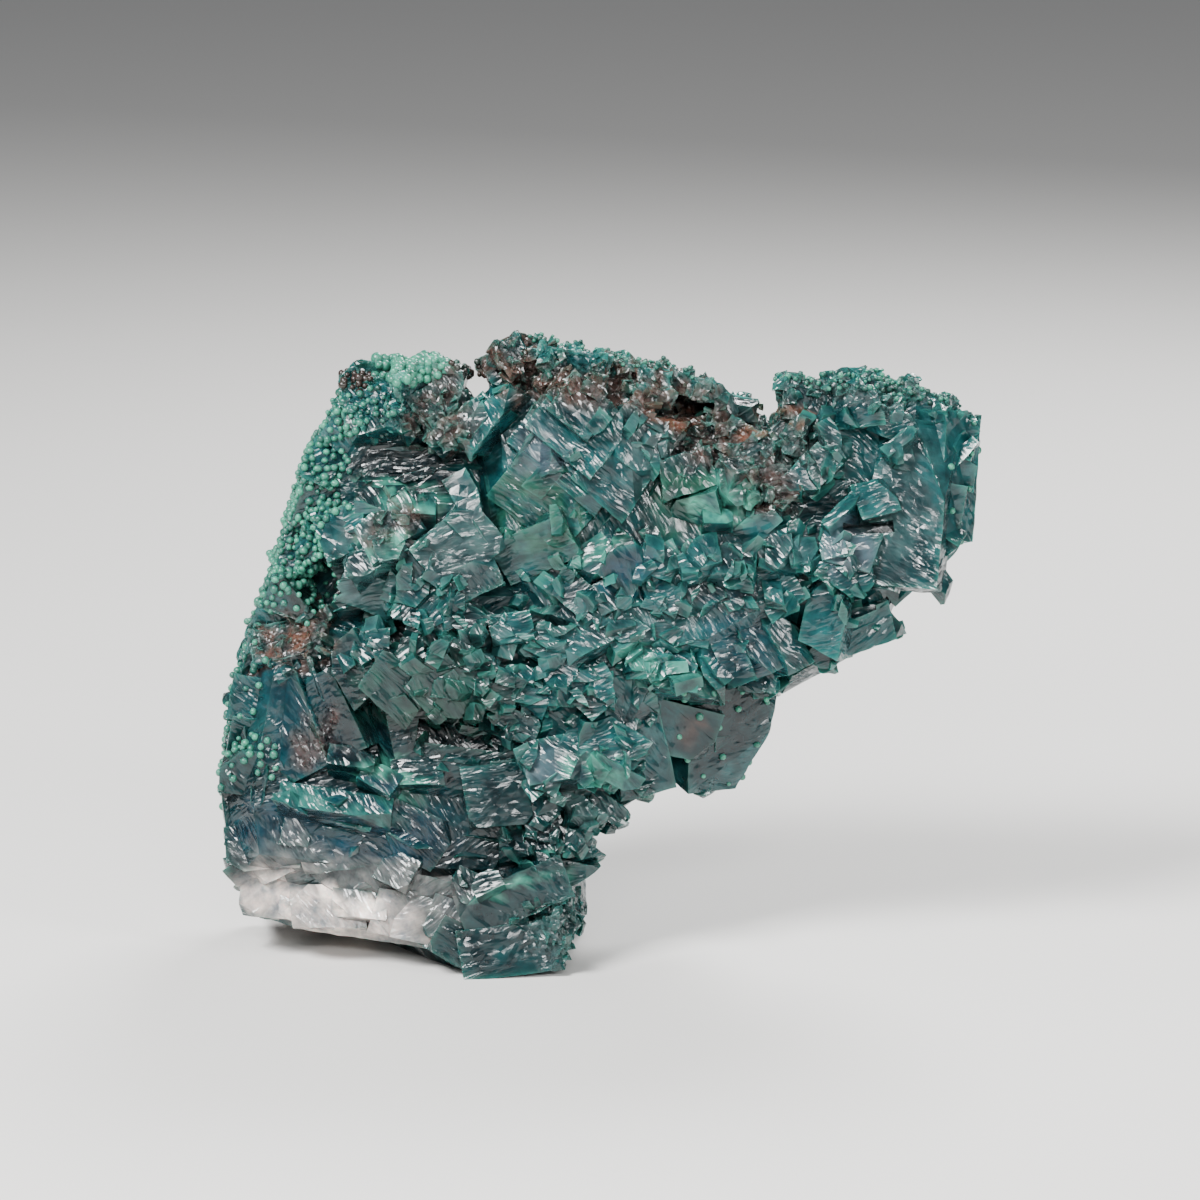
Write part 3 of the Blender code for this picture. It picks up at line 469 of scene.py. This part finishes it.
def template(kind, chance):
    """A crystal of one kind with sides of 1, its top face at z = 0."""
    outline = leaning_outline(chance.uniform(*SKEW) * chance.choice((-1, 1)))
    if kind != "strip" and chance.random() < CHIP_SHARE:
        outline = chip_outline(chance)
    bm = prism(outline)
    BEVELS[kind](bm, chance)
    bmesh.ops.recalc_face_normals(bm, faces=bm.faces)
    if bm.calc_volume(signed=True) < 0:
        bmesh.ops.reverse_faces(bm, faces=bm.faces)
    for vert in bm.verts:
        vert.co = [round(value, DECIMALS) for value in vert.co]
    mesh = bpy.data.meshes.new(kind)
    bm.to_mesh(mesh)
    bm.free()
    return mesh


def packed_mass():
    """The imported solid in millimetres, as triangles."""
    bm = bmesh.new()
    bm.from_mesh(frame["nodes"][NODE].data)
    bmesh.ops.scale(bm, verts=bm.verts, vec=(1 / MM,) * 3)
    bmesh.ops.remove_doubles(bm, verts=bm.verts, dist=SAME_POINT)
    bmesh.ops.triangulate(bm, faces=bm.faces)
    return bm


def facets_of(mass):
    """(normal, long side, corners) of each flat facet."""
    bm = mass.copy()
    bmesh.ops.dissolve_limit(bm, angle_limit=FACET_ANGLE, verts=bm.verts, edges=bm.edges)
    found = []
    for face in bm.faces:
        if face.calc_area() < SMALLEST_FACET:
            continue
        longest = max(face.edges, key=lambda edge: edge.calc_length())
        long_side = (longest.verts[1].co - longest.verts[0].co).normalized()
        found.append((face.normal.copy(), long_side, [vert.co.copy() for vert in face.verts]))
    bm.free()
    return found


def tree_of(facets):
    """Finds the facet nearest to a point."""
    points, polygons = [], []
    for _, _, corners in facets:
        polygons.append(list(range(len(points), len(points) + len(corners))))
        points += corners
    return BVHTree.FromPolygons(points, polygons)


def inside(tree, point):
    nearest, normal, _, _ = tree.find_nearest(point)
    return (point - nearest).dot(normal) < 0


def pose_of(kind, place, normal, long_side, chance):
    """Sizes a crystal that grows here, and sets its top face near the surface."""
    lengths, widths, rises, tilt, turn = GROWTH[kind]
    wobble = Vector([chance.gauss(0, math.radians(tilt)) for _ in range(3)])
    out = (normal + wobble).normalized()
    turned = Matrix.Rotation(chance.gauss(0, math.radians(turn)), 3, normal) @ long_side
    along = (turned - turned.project(out)).normalized()
    axes = Matrix((along, out.cross(along), out)).transposed().to_4x4()
    length = chance.triangular(lengths[0], lengths[1], lengths[0])
    width = length * chance.uniform(*widths)
    place = place + normal * chance.uniform(*rises)
    return Matrix.Translation(place) @ axes @ Matrix.Diagonal((length, width, THICKNESS, 1))


def fits(kind, pose, tree):
    """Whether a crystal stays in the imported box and, as a plate or strip, doesn't overhang."""
    sides = [(x, y) for x in (-0.5, 0.5) for y in (-0.5, 0.5)]
    ends = np.array([pose @ Vector((x, y, z)) for x, y in sides for z in (-1, 0)])
    low, high = np.array(cad_box) / MM
    if (ends < low).any() or (ends > high).any():
        return False
    if kind not in ("plate", "strip"):
        return True
    return all(inside(tree, pose @ Vector((x, y, -0.5))) for x, y in sides)


def grow(bm, chance):
    """The mass with small crystals joined to it."""
    grown = bpy.data.collections.new("small crystals")
    bpy.context.scene.collection.children.link(grown)
    shapes = {kind: [template(kind, chance) for _ in range(TEMPLATES)] for kind in GROWTH}
    facets = facets_of(bm)
    tree = tree_of(facets)
    zones = zones_at(np.array([face.calc_center_median() for face in bm.faces]))
    for face, zone in zip(bm.faces, zones):
        middle = face.calc_center_median()
        if middle.z < CUT_HEIGHT:
            continue
        normal, long_side, _ = facets[tree.find_nearest(middle)[2]]
        shares, density = MIX[zone]
        expected = face.calc_area() * density * (1 if normal.y < BACK_GROWTH else HIDDEN_SHARE)
        count = int(expected) + (chance.random() < expected - int(expected))
        corners = [vert.co for vert in face.verts]
        for _ in range(count):
            a, b = sorted((chance.random(), chance.random()))
            place = corners[0] * a + corners[1] * (b - a) + corners[2] * (1 - b)
            kind = chance.choices(list(shares), list(shares.values()))[0]
            pose = pose_of(kind, place, normal, long_side, chance)
            if fits(kind, pose, tree):
                piece = bpy.data.objects.new(kind, chance.choice(shapes[kind]))
                piece.matrix_world = pose
                grown.objects.link(piece)
    return joined(bm, grown)


def joined(bm, pieces):
    """The mass and the pieces of a collection as one solid."""
    mesh = bpy.data.meshes.new("mass")
    bm.to_mesh(mesh)
    bm.free()
    base = bpy.data.objects.new("mass", mesh)
    bpy.context.scene.collection.objects.link(base)
    change = base.modifiers.new("join", "BOOLEAN")
    change.operation = "UNION"
    change.solver = "MANIFOLD"
    change.operand_type = "COLLECTION"
    change.collection = pieces
    shapes = bpy.context.evaluated_depsgraph_get()
    result = bpy.data.meshes.new_from_object(base.evaluated_get(shapes))
    for thing in list(pieces.objects) + [base]:
        bpy.data.objects.remove(thing)
    bpy.data.collections.remove(pieces)
    return result


def put_in_order(mesh):
    """Sorts the points and triangles, since the solver's own order changes from run to run."""
    bm = bmesh.new()
    bm.from_mesh(mesh)
    bmesh.ops.triangulate(bm, faces=bm.faces)
    bm.to_mesh(mesh)
    bm.free()
    points = np.round(vertex_array(mesh), DECIMALS)
    order = np.lexsort(points.T)
    rank = np.empty(len(order), int)
    rank[order] = np.arange(len(order))
    faces = rank[corner_array(mesh)].reshape(-1, 3)
    first = faces.argmin(axis=1)[:, None]
    faces = np.take_along_axis(faces, (first + np.arange(3)) % 3, axis=1)
    faces = faces[np.lexsort(faces.T)]
    mesh.clear_geometry()
    mesh.from_pydata(points[order].tolist(), [], faces.tolist())


def largest_part(bm):
    """The points of the largest connected part."""
    left, largest = set(bm.verts), set()
    while left:
        waiting = [left.pop()]
        group = set(waiting)
        while waiting:
            for edge in waiting.pop().link_edges:
                for vert in edge.verts:
                    if vert not in group:
                        group.add(vert)
                        waiting.append(vert)
        left -= group
        largest = max(largest, group, key=len)
    return largest


def edge_reaches(bm):
    """How long each edge counts as: less along the growth lines than across, and on the back."""
    bm.verts.index_update()
    bm.faces.index_update()
    points = np.array([vert.co for vert in bm.verts])
    normals = np.array([face.normal for face in bm.faces])
    along, across, _ = grain_directions(normals)
    ends = np.array([[vert.index for vert in edge.verts] for edge in bm.edges])
    sides = points[ends[:, 1]] - points[ends[:, 0]]
    reaches = np.zeros(len(sides))
    for which in (0, -1):
        faces = np.array([edge.link_faces[which].index for edge in bm.edges])
        reach = np.hypot(dot(sides, along[faces]) * ALONG_SHARE, dot(sides, across[faces]))
        reaches = np.maximum(reaches, reach)
        hidden = normals[faces][:, 1] > BACK_SPLIT
        reaches = np.where(hidden, reaches * HIDDEN_SHARE, reaches)
    return reaches


def outer_skin(mesh):
    """Keeps the outside alone, and splits long edges so that ridges and colours have points."""
    bm = bmesh.new()
    bm.from_mesh(mesh)
    kept = largest_part(bm)
    bmesh.ops.delete(bm, geom=[vert for vert in bm.verts if vert not in kept], context="VERTS")
    bmesh.ops.dissolve_limit(bm, angle_limit=SKIN_ANGLE, verts=bm.verts, edges=bm.edges)
    bmesh.ops.triangulate(bm, faces=bm.faces)
    for _ in range(SPLIT_ROUNDS):
        reaches = edge_reaches(bm)
        long_edges = [edge for edge, reach in zip(bm.edges, reaches) if reach > SPLIT_LENGTH]
        bmesh.ops.subdivide_edges(bm, edges=long_edges, cuts=1)
        bmesh.ops.triangulate(bm, faces=[face for face in bm.faces if len(face.verts) > 3])
    bm.to_mesh(mesh)
    bm.free()


def grain_directions(normals):
    """The way the growth lines run on facets that face like this, the way across them, and a
    number that is the facet's own."""
    keys = np.round(normals * NORMAL_STEPS)
    chance = np.abs(np.sin(keys @ np.array(SHUFFLE)) * SHUFFLE_SCALE) % 1.0
    sideways = np.abs(normals[:, 1:2]) > SIDEWAYS_NORMAL
    side = np.cross(normals, np.where(sideways, [[1.0, 0.0, 0.0]], [[0.0, 1.0, 0.0]]))
    side /= np.linalg.norm(side, axis=1)[:, None] + 1e-9
    other = np.cross(normals, side)
    angle = np.where(chance < 0.5, *LINE_TURNS) + (chance - 0.5) * LINE_TURN_SPREAD
    along = side * np.cos(angle)[:, None] + other * np.sin(angle)[:, None]
    return along, np.cross(normals, along), chance


def inner_share(mesh, normals):
    """1 at points within a facet, 0 at points on its edges."""
    corners = corner_array(mesh)
    flat = np.repeat(normal_array(mesh), 3, axis=0)
    least = np.ones(len(normals))
    np.minimum.at(least, corners, dot(flat, normals[corners]))
    return np.clip((least - EDGE_AGREEMENT) / EDGE_FADE, 0, 1)


def roughen(mesh):
    """Raises ridges along the growth lines. The edges of the facets stay sharp and only waver."""
    points = vertex_array(mesh)
    normals = np.array([vert.normal for vert in mesh.vertices])
    inner = inner_share(mesh, normals)
    along, across, chance = grain_directions(normals)
    u, v = dot(points, along), dot(points, across)
    grit = grit_at(*drifted(points)[:2])
    height = np.empty(len(points))
    for k, point in enumerate(points):
        place = Vector(point)
        line = noise.noise((u[k] * LINE_SCALE[0], v[k] * LINE_SCALE[1], chance[k] * OWN_RANGE))
        fine = noise.noise((u[k] * FINE_SCALE[0], v[k] * FINE_SCALE[1], chance[k] * OWN_FINE_RANGE))
        waver = noise.noise(place * WAVER_SCALE) * WAVER
        crumb = noise.noise(place * CRUMB_SCALE) * CRUMB * grit[k]
        calm = max(LEAST_CALM, min(1, 0.5 + 2 * noise.noise(place * CALM_SCALE)))
        ridge = ((LINE_LEVEL - abs(line)) * LINE_SHARE + fine * FINE_SHARE) * RIDGE * calm
        height[k] = inner[k] * ridge + waver + crumb
    height *= np.clip(points[:, 2] / RISE_ABOVE_CUT, 0, 1)
    points += normals * height[:, None]
    mesh.vertices.foreach_set("co", points.astype(np.float32).ravel())
    mesh.update()


def lay_grain(mesh):
    """Gives each facet flat coordinates, in millimetres, along and across its growth lines, and
    returns the facet's own number at each of its corners."""
    place = vertex_array(mesh)[corner_array(mesh)]
    directions = grain_directions(normal_array(mesh))
    along, across, chance = (np.repeat(values, 3, axis=0) for values in directions)
    grain = np.stack([dot(place, along), dot(place, across), chance * OWN_RANGE], axis=1)
    attribute = mesh.attributes.new("grain", "FLOAT_VECTOR", "CORNER")
    attribute.data.foreach_set("vector", grain.astype(np.float32).ravel())
    return chance


def ground_tint(fine, broad, facet_chance):
    """Between deep and teal, by noise and by facet."""
    uneven = fine[:, 2] + broad[:, 2] + facet_chance * SHUFFLE_TINT % 1 - 0.5
    share = np.clip(TEAL_SHARE + uneven * TEAL_SPREAD, 0, 1)[:, None]
    return np.array(PALETTE["deep"]) * (1 - share) + np.array(PALETTE["teal"]) * share


def paint(mesh, facet_chance):
    """Writes the colour of each corner, how much its thin edges glow, how hackly and how granular
    it is. A facet's own number moves it in the field of colours, so that borders run along
    facets."""
    corners = corner_array(mesh)
    across, up, fine, broad = (values[corners] for values in drifted(vertex_array(mesh)))
    across = across + (facet_chance - 0.5) * FACET_SHIFT
    up = up + (facet_chance * SHUFFLE_UP % 1 - 0.5) * FACET_SHIFT
    tint = ground_tint(fine, broad, facet_chance)
    glow, hackle, frost = np.ones(len(corners)), np.ones(len(corners)), np.zeros(len(corners))
    level, spread, least = BREAK_UP
    for colour, *zone, strength in PATCHES:
        weight = weight_in(zone, across, up, PATCH_END, PATCH_BORDER) * strength
        if colour not in WHOLE_COLOURS:
            weight *= np.clip(level + fine[:, 2] * spread, least, 1)
        tint += (np.array(PALETTE[colour]) - tint) * weight[:, None]
        if colour in DULL_COLOURS:
            glow *= 1 - weight * DULLED
        if colour in FROSTED_COLOURS:
            frost = np.maximum(frost, weight)
    for zone in ZONES["smooth"]:
        hackle *= 1 - weight_in(zone, across, up) * SMOOTHED * (1 - frost)
    colours = mesh.attributes.new("tint", "FLOAT_COLOR", "CORNER")
    opaque = np.ones(len(corners))
    colours.data.foreach_set("color", np.c_[tint, opaque].astype(np.float32).ravel())
    for name, values in (("glow", glow), ("hackle", hackle), ("grit", grit_at(across, up))):
        attribute = mesh.attributes.new(name, "FLOAT", "CORNER")
        attribute.data.foreach_set("value", values.astype(np.float32))


def surface_points(mesh, count, chance):
    """Random points on the mesh and the way it faces there."""
    points, corners = vertex_array(mesh), corner_array(mesh).reshape(-1, 3)
    a, b, c = (points[corners[:, k]] for k in range(3))
    cross = np.cross(b - a, c - a)
    area = np.linalg.norm(cross, axis=1)
    picked = chance.choice(len(area), count, p=area / area.sum())
    first, second = chance.random((2, count, 1))
    flip = first + second > 1
    first, second = np.where(flip, 1 - first, first), np.where(flip, 1 - second, second)
    places = a[picked] + (b - a)[picked] * first + (c - a)[picked] * second
    return places, (cross / (area[:, None] + 1e-12))[picked]


def bead_places(mesh, chance):
    """(place, normal, radius, tone) of each bead, no two of a zone closer than its spacing."""
    places, normals = surface_points(mesh, BEAD_CANDIDATES, chance)
    across, up, _ = as_seen(places)
    wander = noise_at(places, BEAD_DRIFT[0]) * BEAD_DRIFT[1]
    across, up = across + wander[:, 0], up + wander[:, 1]
    steps = [(x, y, z) for x in (-1, 0, 1) for y in (-1, 0, 1) for z in (-1, 0, 1)]
    chosen = []
    for *zone, spacing, radii, tones in BEADS:
        taken = {}
        for index in np.flatnonzero(within(zone, across, up) < 1):
            place = places[index]
            cell = tuple(np.floor(place / spacing).astype(int))
            cells = [tuple(here + step for here, step in zip(cell, move)) for move in steps]
            near = (other for neighbour in cells for other in taken.get(neighbour, ()))
            if any(np.linalg.norm(place - other) < spacing for other in near):
                continue
            taken.setdefault(cell, []).append(place)
            chosen.append((place, normals[index], chance.uniform(*radii), chance.uniform(*tones)))
    return chosen


def bead_crust(mesh):
    """Round beads that sit on the mass, joined as one mesh."""
    chance = np.random.default_rng(SEED)
    bm = bmesh.new()
    bmesh.ops.create_icosphere(bm, subdivisions=2, radius=1)
    ball = np.array([vert.co for vert in bm.verts])
    faces = np.array([[vert.index for vert in face.verts] for face in bm.faces])
    bm.free()
    low, high = np.array(cad_box) / MM
    points, polygons, tones = [], [], []
    for place, normal, radius, tone in bead_places(mesh, chance):
        middle = place + normal * radius * BEAD_RISE
        outside = np.maximum(low - (middle - radius), (middle + radius) - high)
        if (outside > BOX_MARGIN).any():
            continue
        stretch = chance.uniform(*BEAD_STRETCH, 3) * radius
        polygons.append(faces + len(points) * len(ball))
        points.append(ball * stretch + middle)
        tones.append(np.full(len(ball), tone))
    crust = bpy.data.meshes.new("bead_crust")
    crust.from_pydata(np.concatenate(points).tolist(), [], np.concatenate(polygons).tolist())
    crust.polygons.foreach_set("use_smooth", np.ones(len(crust.polygons), bool))
    attribute = crust.attributes.new("tone", "FLOAT", "POINT")
    attribute.data.foreach_set("value", np.concatenate(tones).astype(np.float32))
    return crust


def add_piece(name, mesh, material):
    """Sizes a piece to metres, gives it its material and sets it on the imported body."""
    mesh.name = name
    mesh.transform(Matrix.Scale(MM, 4))
    mesh.materials.clear()
    mesh.materials.append(material)
    piece = bpy.data.objects.new(name, mesh)
    bpy.context.scene.collection.objects.link(piece)
    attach(piece, BODY)
    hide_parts(NODE)


def build():
    mass = grow(packed_mass(), random.Random(SEED))
    put_in_order(mass)
    outer_skin(mass)
    facet_chance = lay_grain(mass)
    roughen(mass)
    paint(mass, facet_chance)
    beads = bead_crust(mass)
    add_piece("teal_mass", mass, crystal_material())
    add_piece("bead_crust", beads, bead_material())


class Nodes:
    """A material, with short calls to add and join its nodes."""

    def __init__(self, name):
        self.material = bpy.data.materials.new(name)
        self.material.use_nodes = True
        self.tree = self.material.node_tree
        self.shader = self.tree.nodes["Principled BSDF"]

    def join(self, value, socket):
        if isinstance(value, bpy.types.NodeSocket):
            self.tree.links.new(value, socket)
        else:
            socket.default_value = value

    def set(self, **values):
        """Sets the shader's own sockets, whose names are written with underscores."""
        for name, value in values.items():
            self.shader.inputs[name.replace("_", " ")].default_value = value

    def add(self, kind, inputs=(), **settings):
        node = self.tree.nodes.new(kind)
        for name, value in settings.items():
            setattr(node, name, value)
        for index, value in enumerate(inputs):
            if value is not None:
                self.join(value, node.inputs[index])
        return node

    def attribute(self, name, output="Fac"):
        return self.add("ShaderNodeAttribute", attribute_name=name).outputs[output]

    def math(self, operation, *values):
        return self.add("ShaderNodeMath", values, operation=operation).outputs[0]

    def vector(self, operation, *values):
        return self.add("ShaderNodeVectorMath", values, operation=operation).outputs[0]

    def mix(self, share, first, second, blend="MIX"):
        node = self.add("ShaderNodeMix", data_type="RGBA", blend_type=blend)
        for value, socket in ((share, 0), (first, 6), (second, 7)):
            self.join(value, node.inputs[socket])
        return node.outputs[2]

    def ramp(self, value, low, high):
        return self.add("ShaderNodeMapRange", (value, low, high), clamp=True).outputs[0]

    def centred(self, colour):
        """A random colour as a random vector round zero."""
        return self.vector("SUBTRACT", colour, (0.5, 0.5, 0.5))

    def tilt(self, texture, strength):
        """Tilts each cell of a texture its own way."""
        node = self.add("ShaderNodeVectorMath", operation="SCALE")
        self.join(self.centred(texture.outputs["Color"]), node.inputs[0])
        self.join(strength, node.inputs["Scale"])
        return node.outputs[0]


def tilted_normal(n, grain, place, chips):
    """Fine curved lines and chips on hackly facets, and crumbs in granular zones."""
    bend = n.vector("MULTIPLY", grain, BEND_SCALE)
    bend = n.add("ShaderNodeTexNoise", (bend, None, 1.0, 1.0))
    bend = n.vector("MULTIPLY", n.centred(bend.outputs["Color"]), BEND_REACH)
    curved = n.vector("MULTIPLY", n.vector("ADD", grain, bend), LINE_CELLS)
    lines = n.add("ShaderNodeTexVoronoi", (curved, None, 1.0))
    crumbs = n.add("ShaderNodeTexVoronoi", (place, None, CRUMB_CELLS))
    patchy = n.vector("MULTIPLY", grain, PATCHY_SCALE)
    patchy = n.add("ShaderNodeTexNoise", (patchy, None, 1.0, 2.0))
    patchy = n.ramp(patchy.outputs[0], *PATCHY_RANGE)
    strength = n.math("MULTIPLY", n.attribute("hackle"), patchy)
    line_tilt = n.tilt(lines, n.math("MULTIPLY", strength, LINE_TILT))
    chip_tilt = n.tilt(chips, n.math("MULTIPLY", strength, CHIP_TILT))
    crumb_tilt = n.tilt(crumbs, n.math("MULTIPLY", n.attribute("grit"), CRUMB_TILT))
    normal = n.add("ShaderNodeNewGeometry").outputs["Normal"]
    facing = n.vector("ADD", n.vector("ADD", normal, line_tilt), n.vector("ADD", chip_tilt, crumb_tilt))
    return n.vector("NORMALIZE", facing)


def crystal_colour(n, place):
    """The painted tint, a little mottled, with mint light in thin edges."""
    cloud = n.add("ShaderNodeTexNoise", (place, None, CLOUD_SCALE, 3.0, 0.6))
    mottled = n.mix(n.ramp(cloud.outputs[0], 0.3, 0.7), CLOUD_DARK, CLOUD_LIGHT)
    colour = n.mix(1.0, n.attribute("tint", "Color"), mottled, "MULTIPLY")
    depth = n.add("ShaderNodeAmbientOcclusion", samples=3, inside=True, only_local=True)
    depth.inputs["Distance"].default_value = EDGE_DEPTH
    thin = n.ramp(depth.outputs["AO"], *EDGE_RANGE)
    thin = n.math("MULTIPLY", n.math("MULTIPLY", thin, n.attribute("glow")), EDGE_GLOW)
    return n.mix(thin, colour, (*PALETTE["mint"], 1))


def crystal_material():
    n = Nodes("teal crystal")
    grain = n.attribute("grain", "Vector")
    place = n.add("ShaderNodeTexCoord").outputs["Object"]
    chips = n.add("ShaderNodeTexVoronoi", (n.vector("MULTIPLY", grain, CHIP_CELLS), None, 1.0))
    n.join(tilted_normal(n, grain, place, chips), n.shader.inputs["Normal"])
    n.join(crystal_colour(n, place), n.shader.inputs["Base Color"])

    chipped = n.math("MULTIPLY", n.ramp(chips.outputs["Distance"], 0.0, 1.0), CHIP_ROUGHNESS)
    gritty = n.math("MULTIPLY", n.attribute("grit"), GRIT_ROUGHNESS)
    rough = n.math("ADD", n.math("ADD", chipped, gritty), ROUGHNESS)
    n.join(rough, n.shader.inputs["Roughness"])
    n.set(IOR=1.54, Specular_IOR_Level=0.42, Transmission_Weight=0.08)
    n.set(Subsurface_Weight=0.5, Subsurface_Radius=(0.4, 1.0, 0.9), Subsurface_Scale=0.0008)
    return n.material


def bead_material():
    """Black-brown, deep green or mint, by each bead's own tone."""
    n = Nodes("mint beads")
    tone = n.attribute("tone")
    green = n.mix(n.ramp(tone, *BEAD_MINT_TONES), BEAD_DARK_GREEN, BEAD_MINT)
    colour = n.mix(n.ramp(tone, *BEAD_GREEN_TONES), BEAD_BLACK, green)
    n.join(colour, n.shader.inputs["Base Color"])
    n.set(Roughness=0.3)
    n.set(Subsurface_Weight=0.6, Subsurface_Radius=(0.5, 1.0, 0.8), Subsurface_Scale=0.001)
    return n.material


def floor():
    mesh = bpy.data.meshes.new("floor")
    bm = bmesh.new()
    bmesh.ops.create_grid(bm, x_segments=1, y_segments=1, size=FLOOR_REACH)
    bm.to_mesh(mesh)
    bm.free()
    plane = bpy.data.objects.new("floor", mesh)
    bpy.context.scene.collection.objects.link(plane)
    n = Nodes("floor")
    n.set(Base_Color=FLOOR_COLOUR, Roughness=FLOOR_ROUGHNESS)
    plane.data.materials.append(n.material)


def light(name, place, size, power):
    data = bpy.data.lights.new(name, "AREA")
    data.shape = "RECTANGLE"
    data.size, data.size_y = size
    data.energy = power
    lamp = bpy.data.objects.new(name, data)
    lamp.location = place
    lamp.rotation_euler = (LIT_POINT - Vector(place)).to_track_quat("-Z", "Y").to_euler()
    bpy.context.scene.collection.objects.link(lamp)


def studio():
    world = bpy.data.worlds.new("studio")
    world.use_nodes = True
    background = world.node_tree.nodes["Background"]
    background.inputs["Color"].default_value = SKY_COLOUR
    background.inputs["Strength"].default_value = SKY_STRENGTH
    bpy.context.scene.world = world
    for name, settings in LIGHTS.items():
        light(name, *settings)


def camera():
    """Looks down by VIEW_TILT at the middle of the picture, at depth 0."""
    data = bpy.data.cameras.new("camera")
    data.lens, data.sensor_width = LENS, SENSOR
    upward = Vector((0, math.sin(VIEW_TILT), math.cos(VIEW_TILT)))
    back = Vector((0, -math.cos(VIEW_TILT), math.sin(VIEW_TILT)))
    target = upward * FRAME_MIDDLE_UP - DRAWN_MIDDLE
    thing = bpy.data.objects.new("camera", data)
    thing.location = (target + back * FRAME_WIDTH / SENSOR * LENS) * MM
    thing.rotation_euler = (-back).to_track_quat("-Z", "Y").to_euler()
    bpy.context.scene.collection.objects.link(thing)
    bpy.context.scene.camera = thing


build()
floor()
studio()
camera()
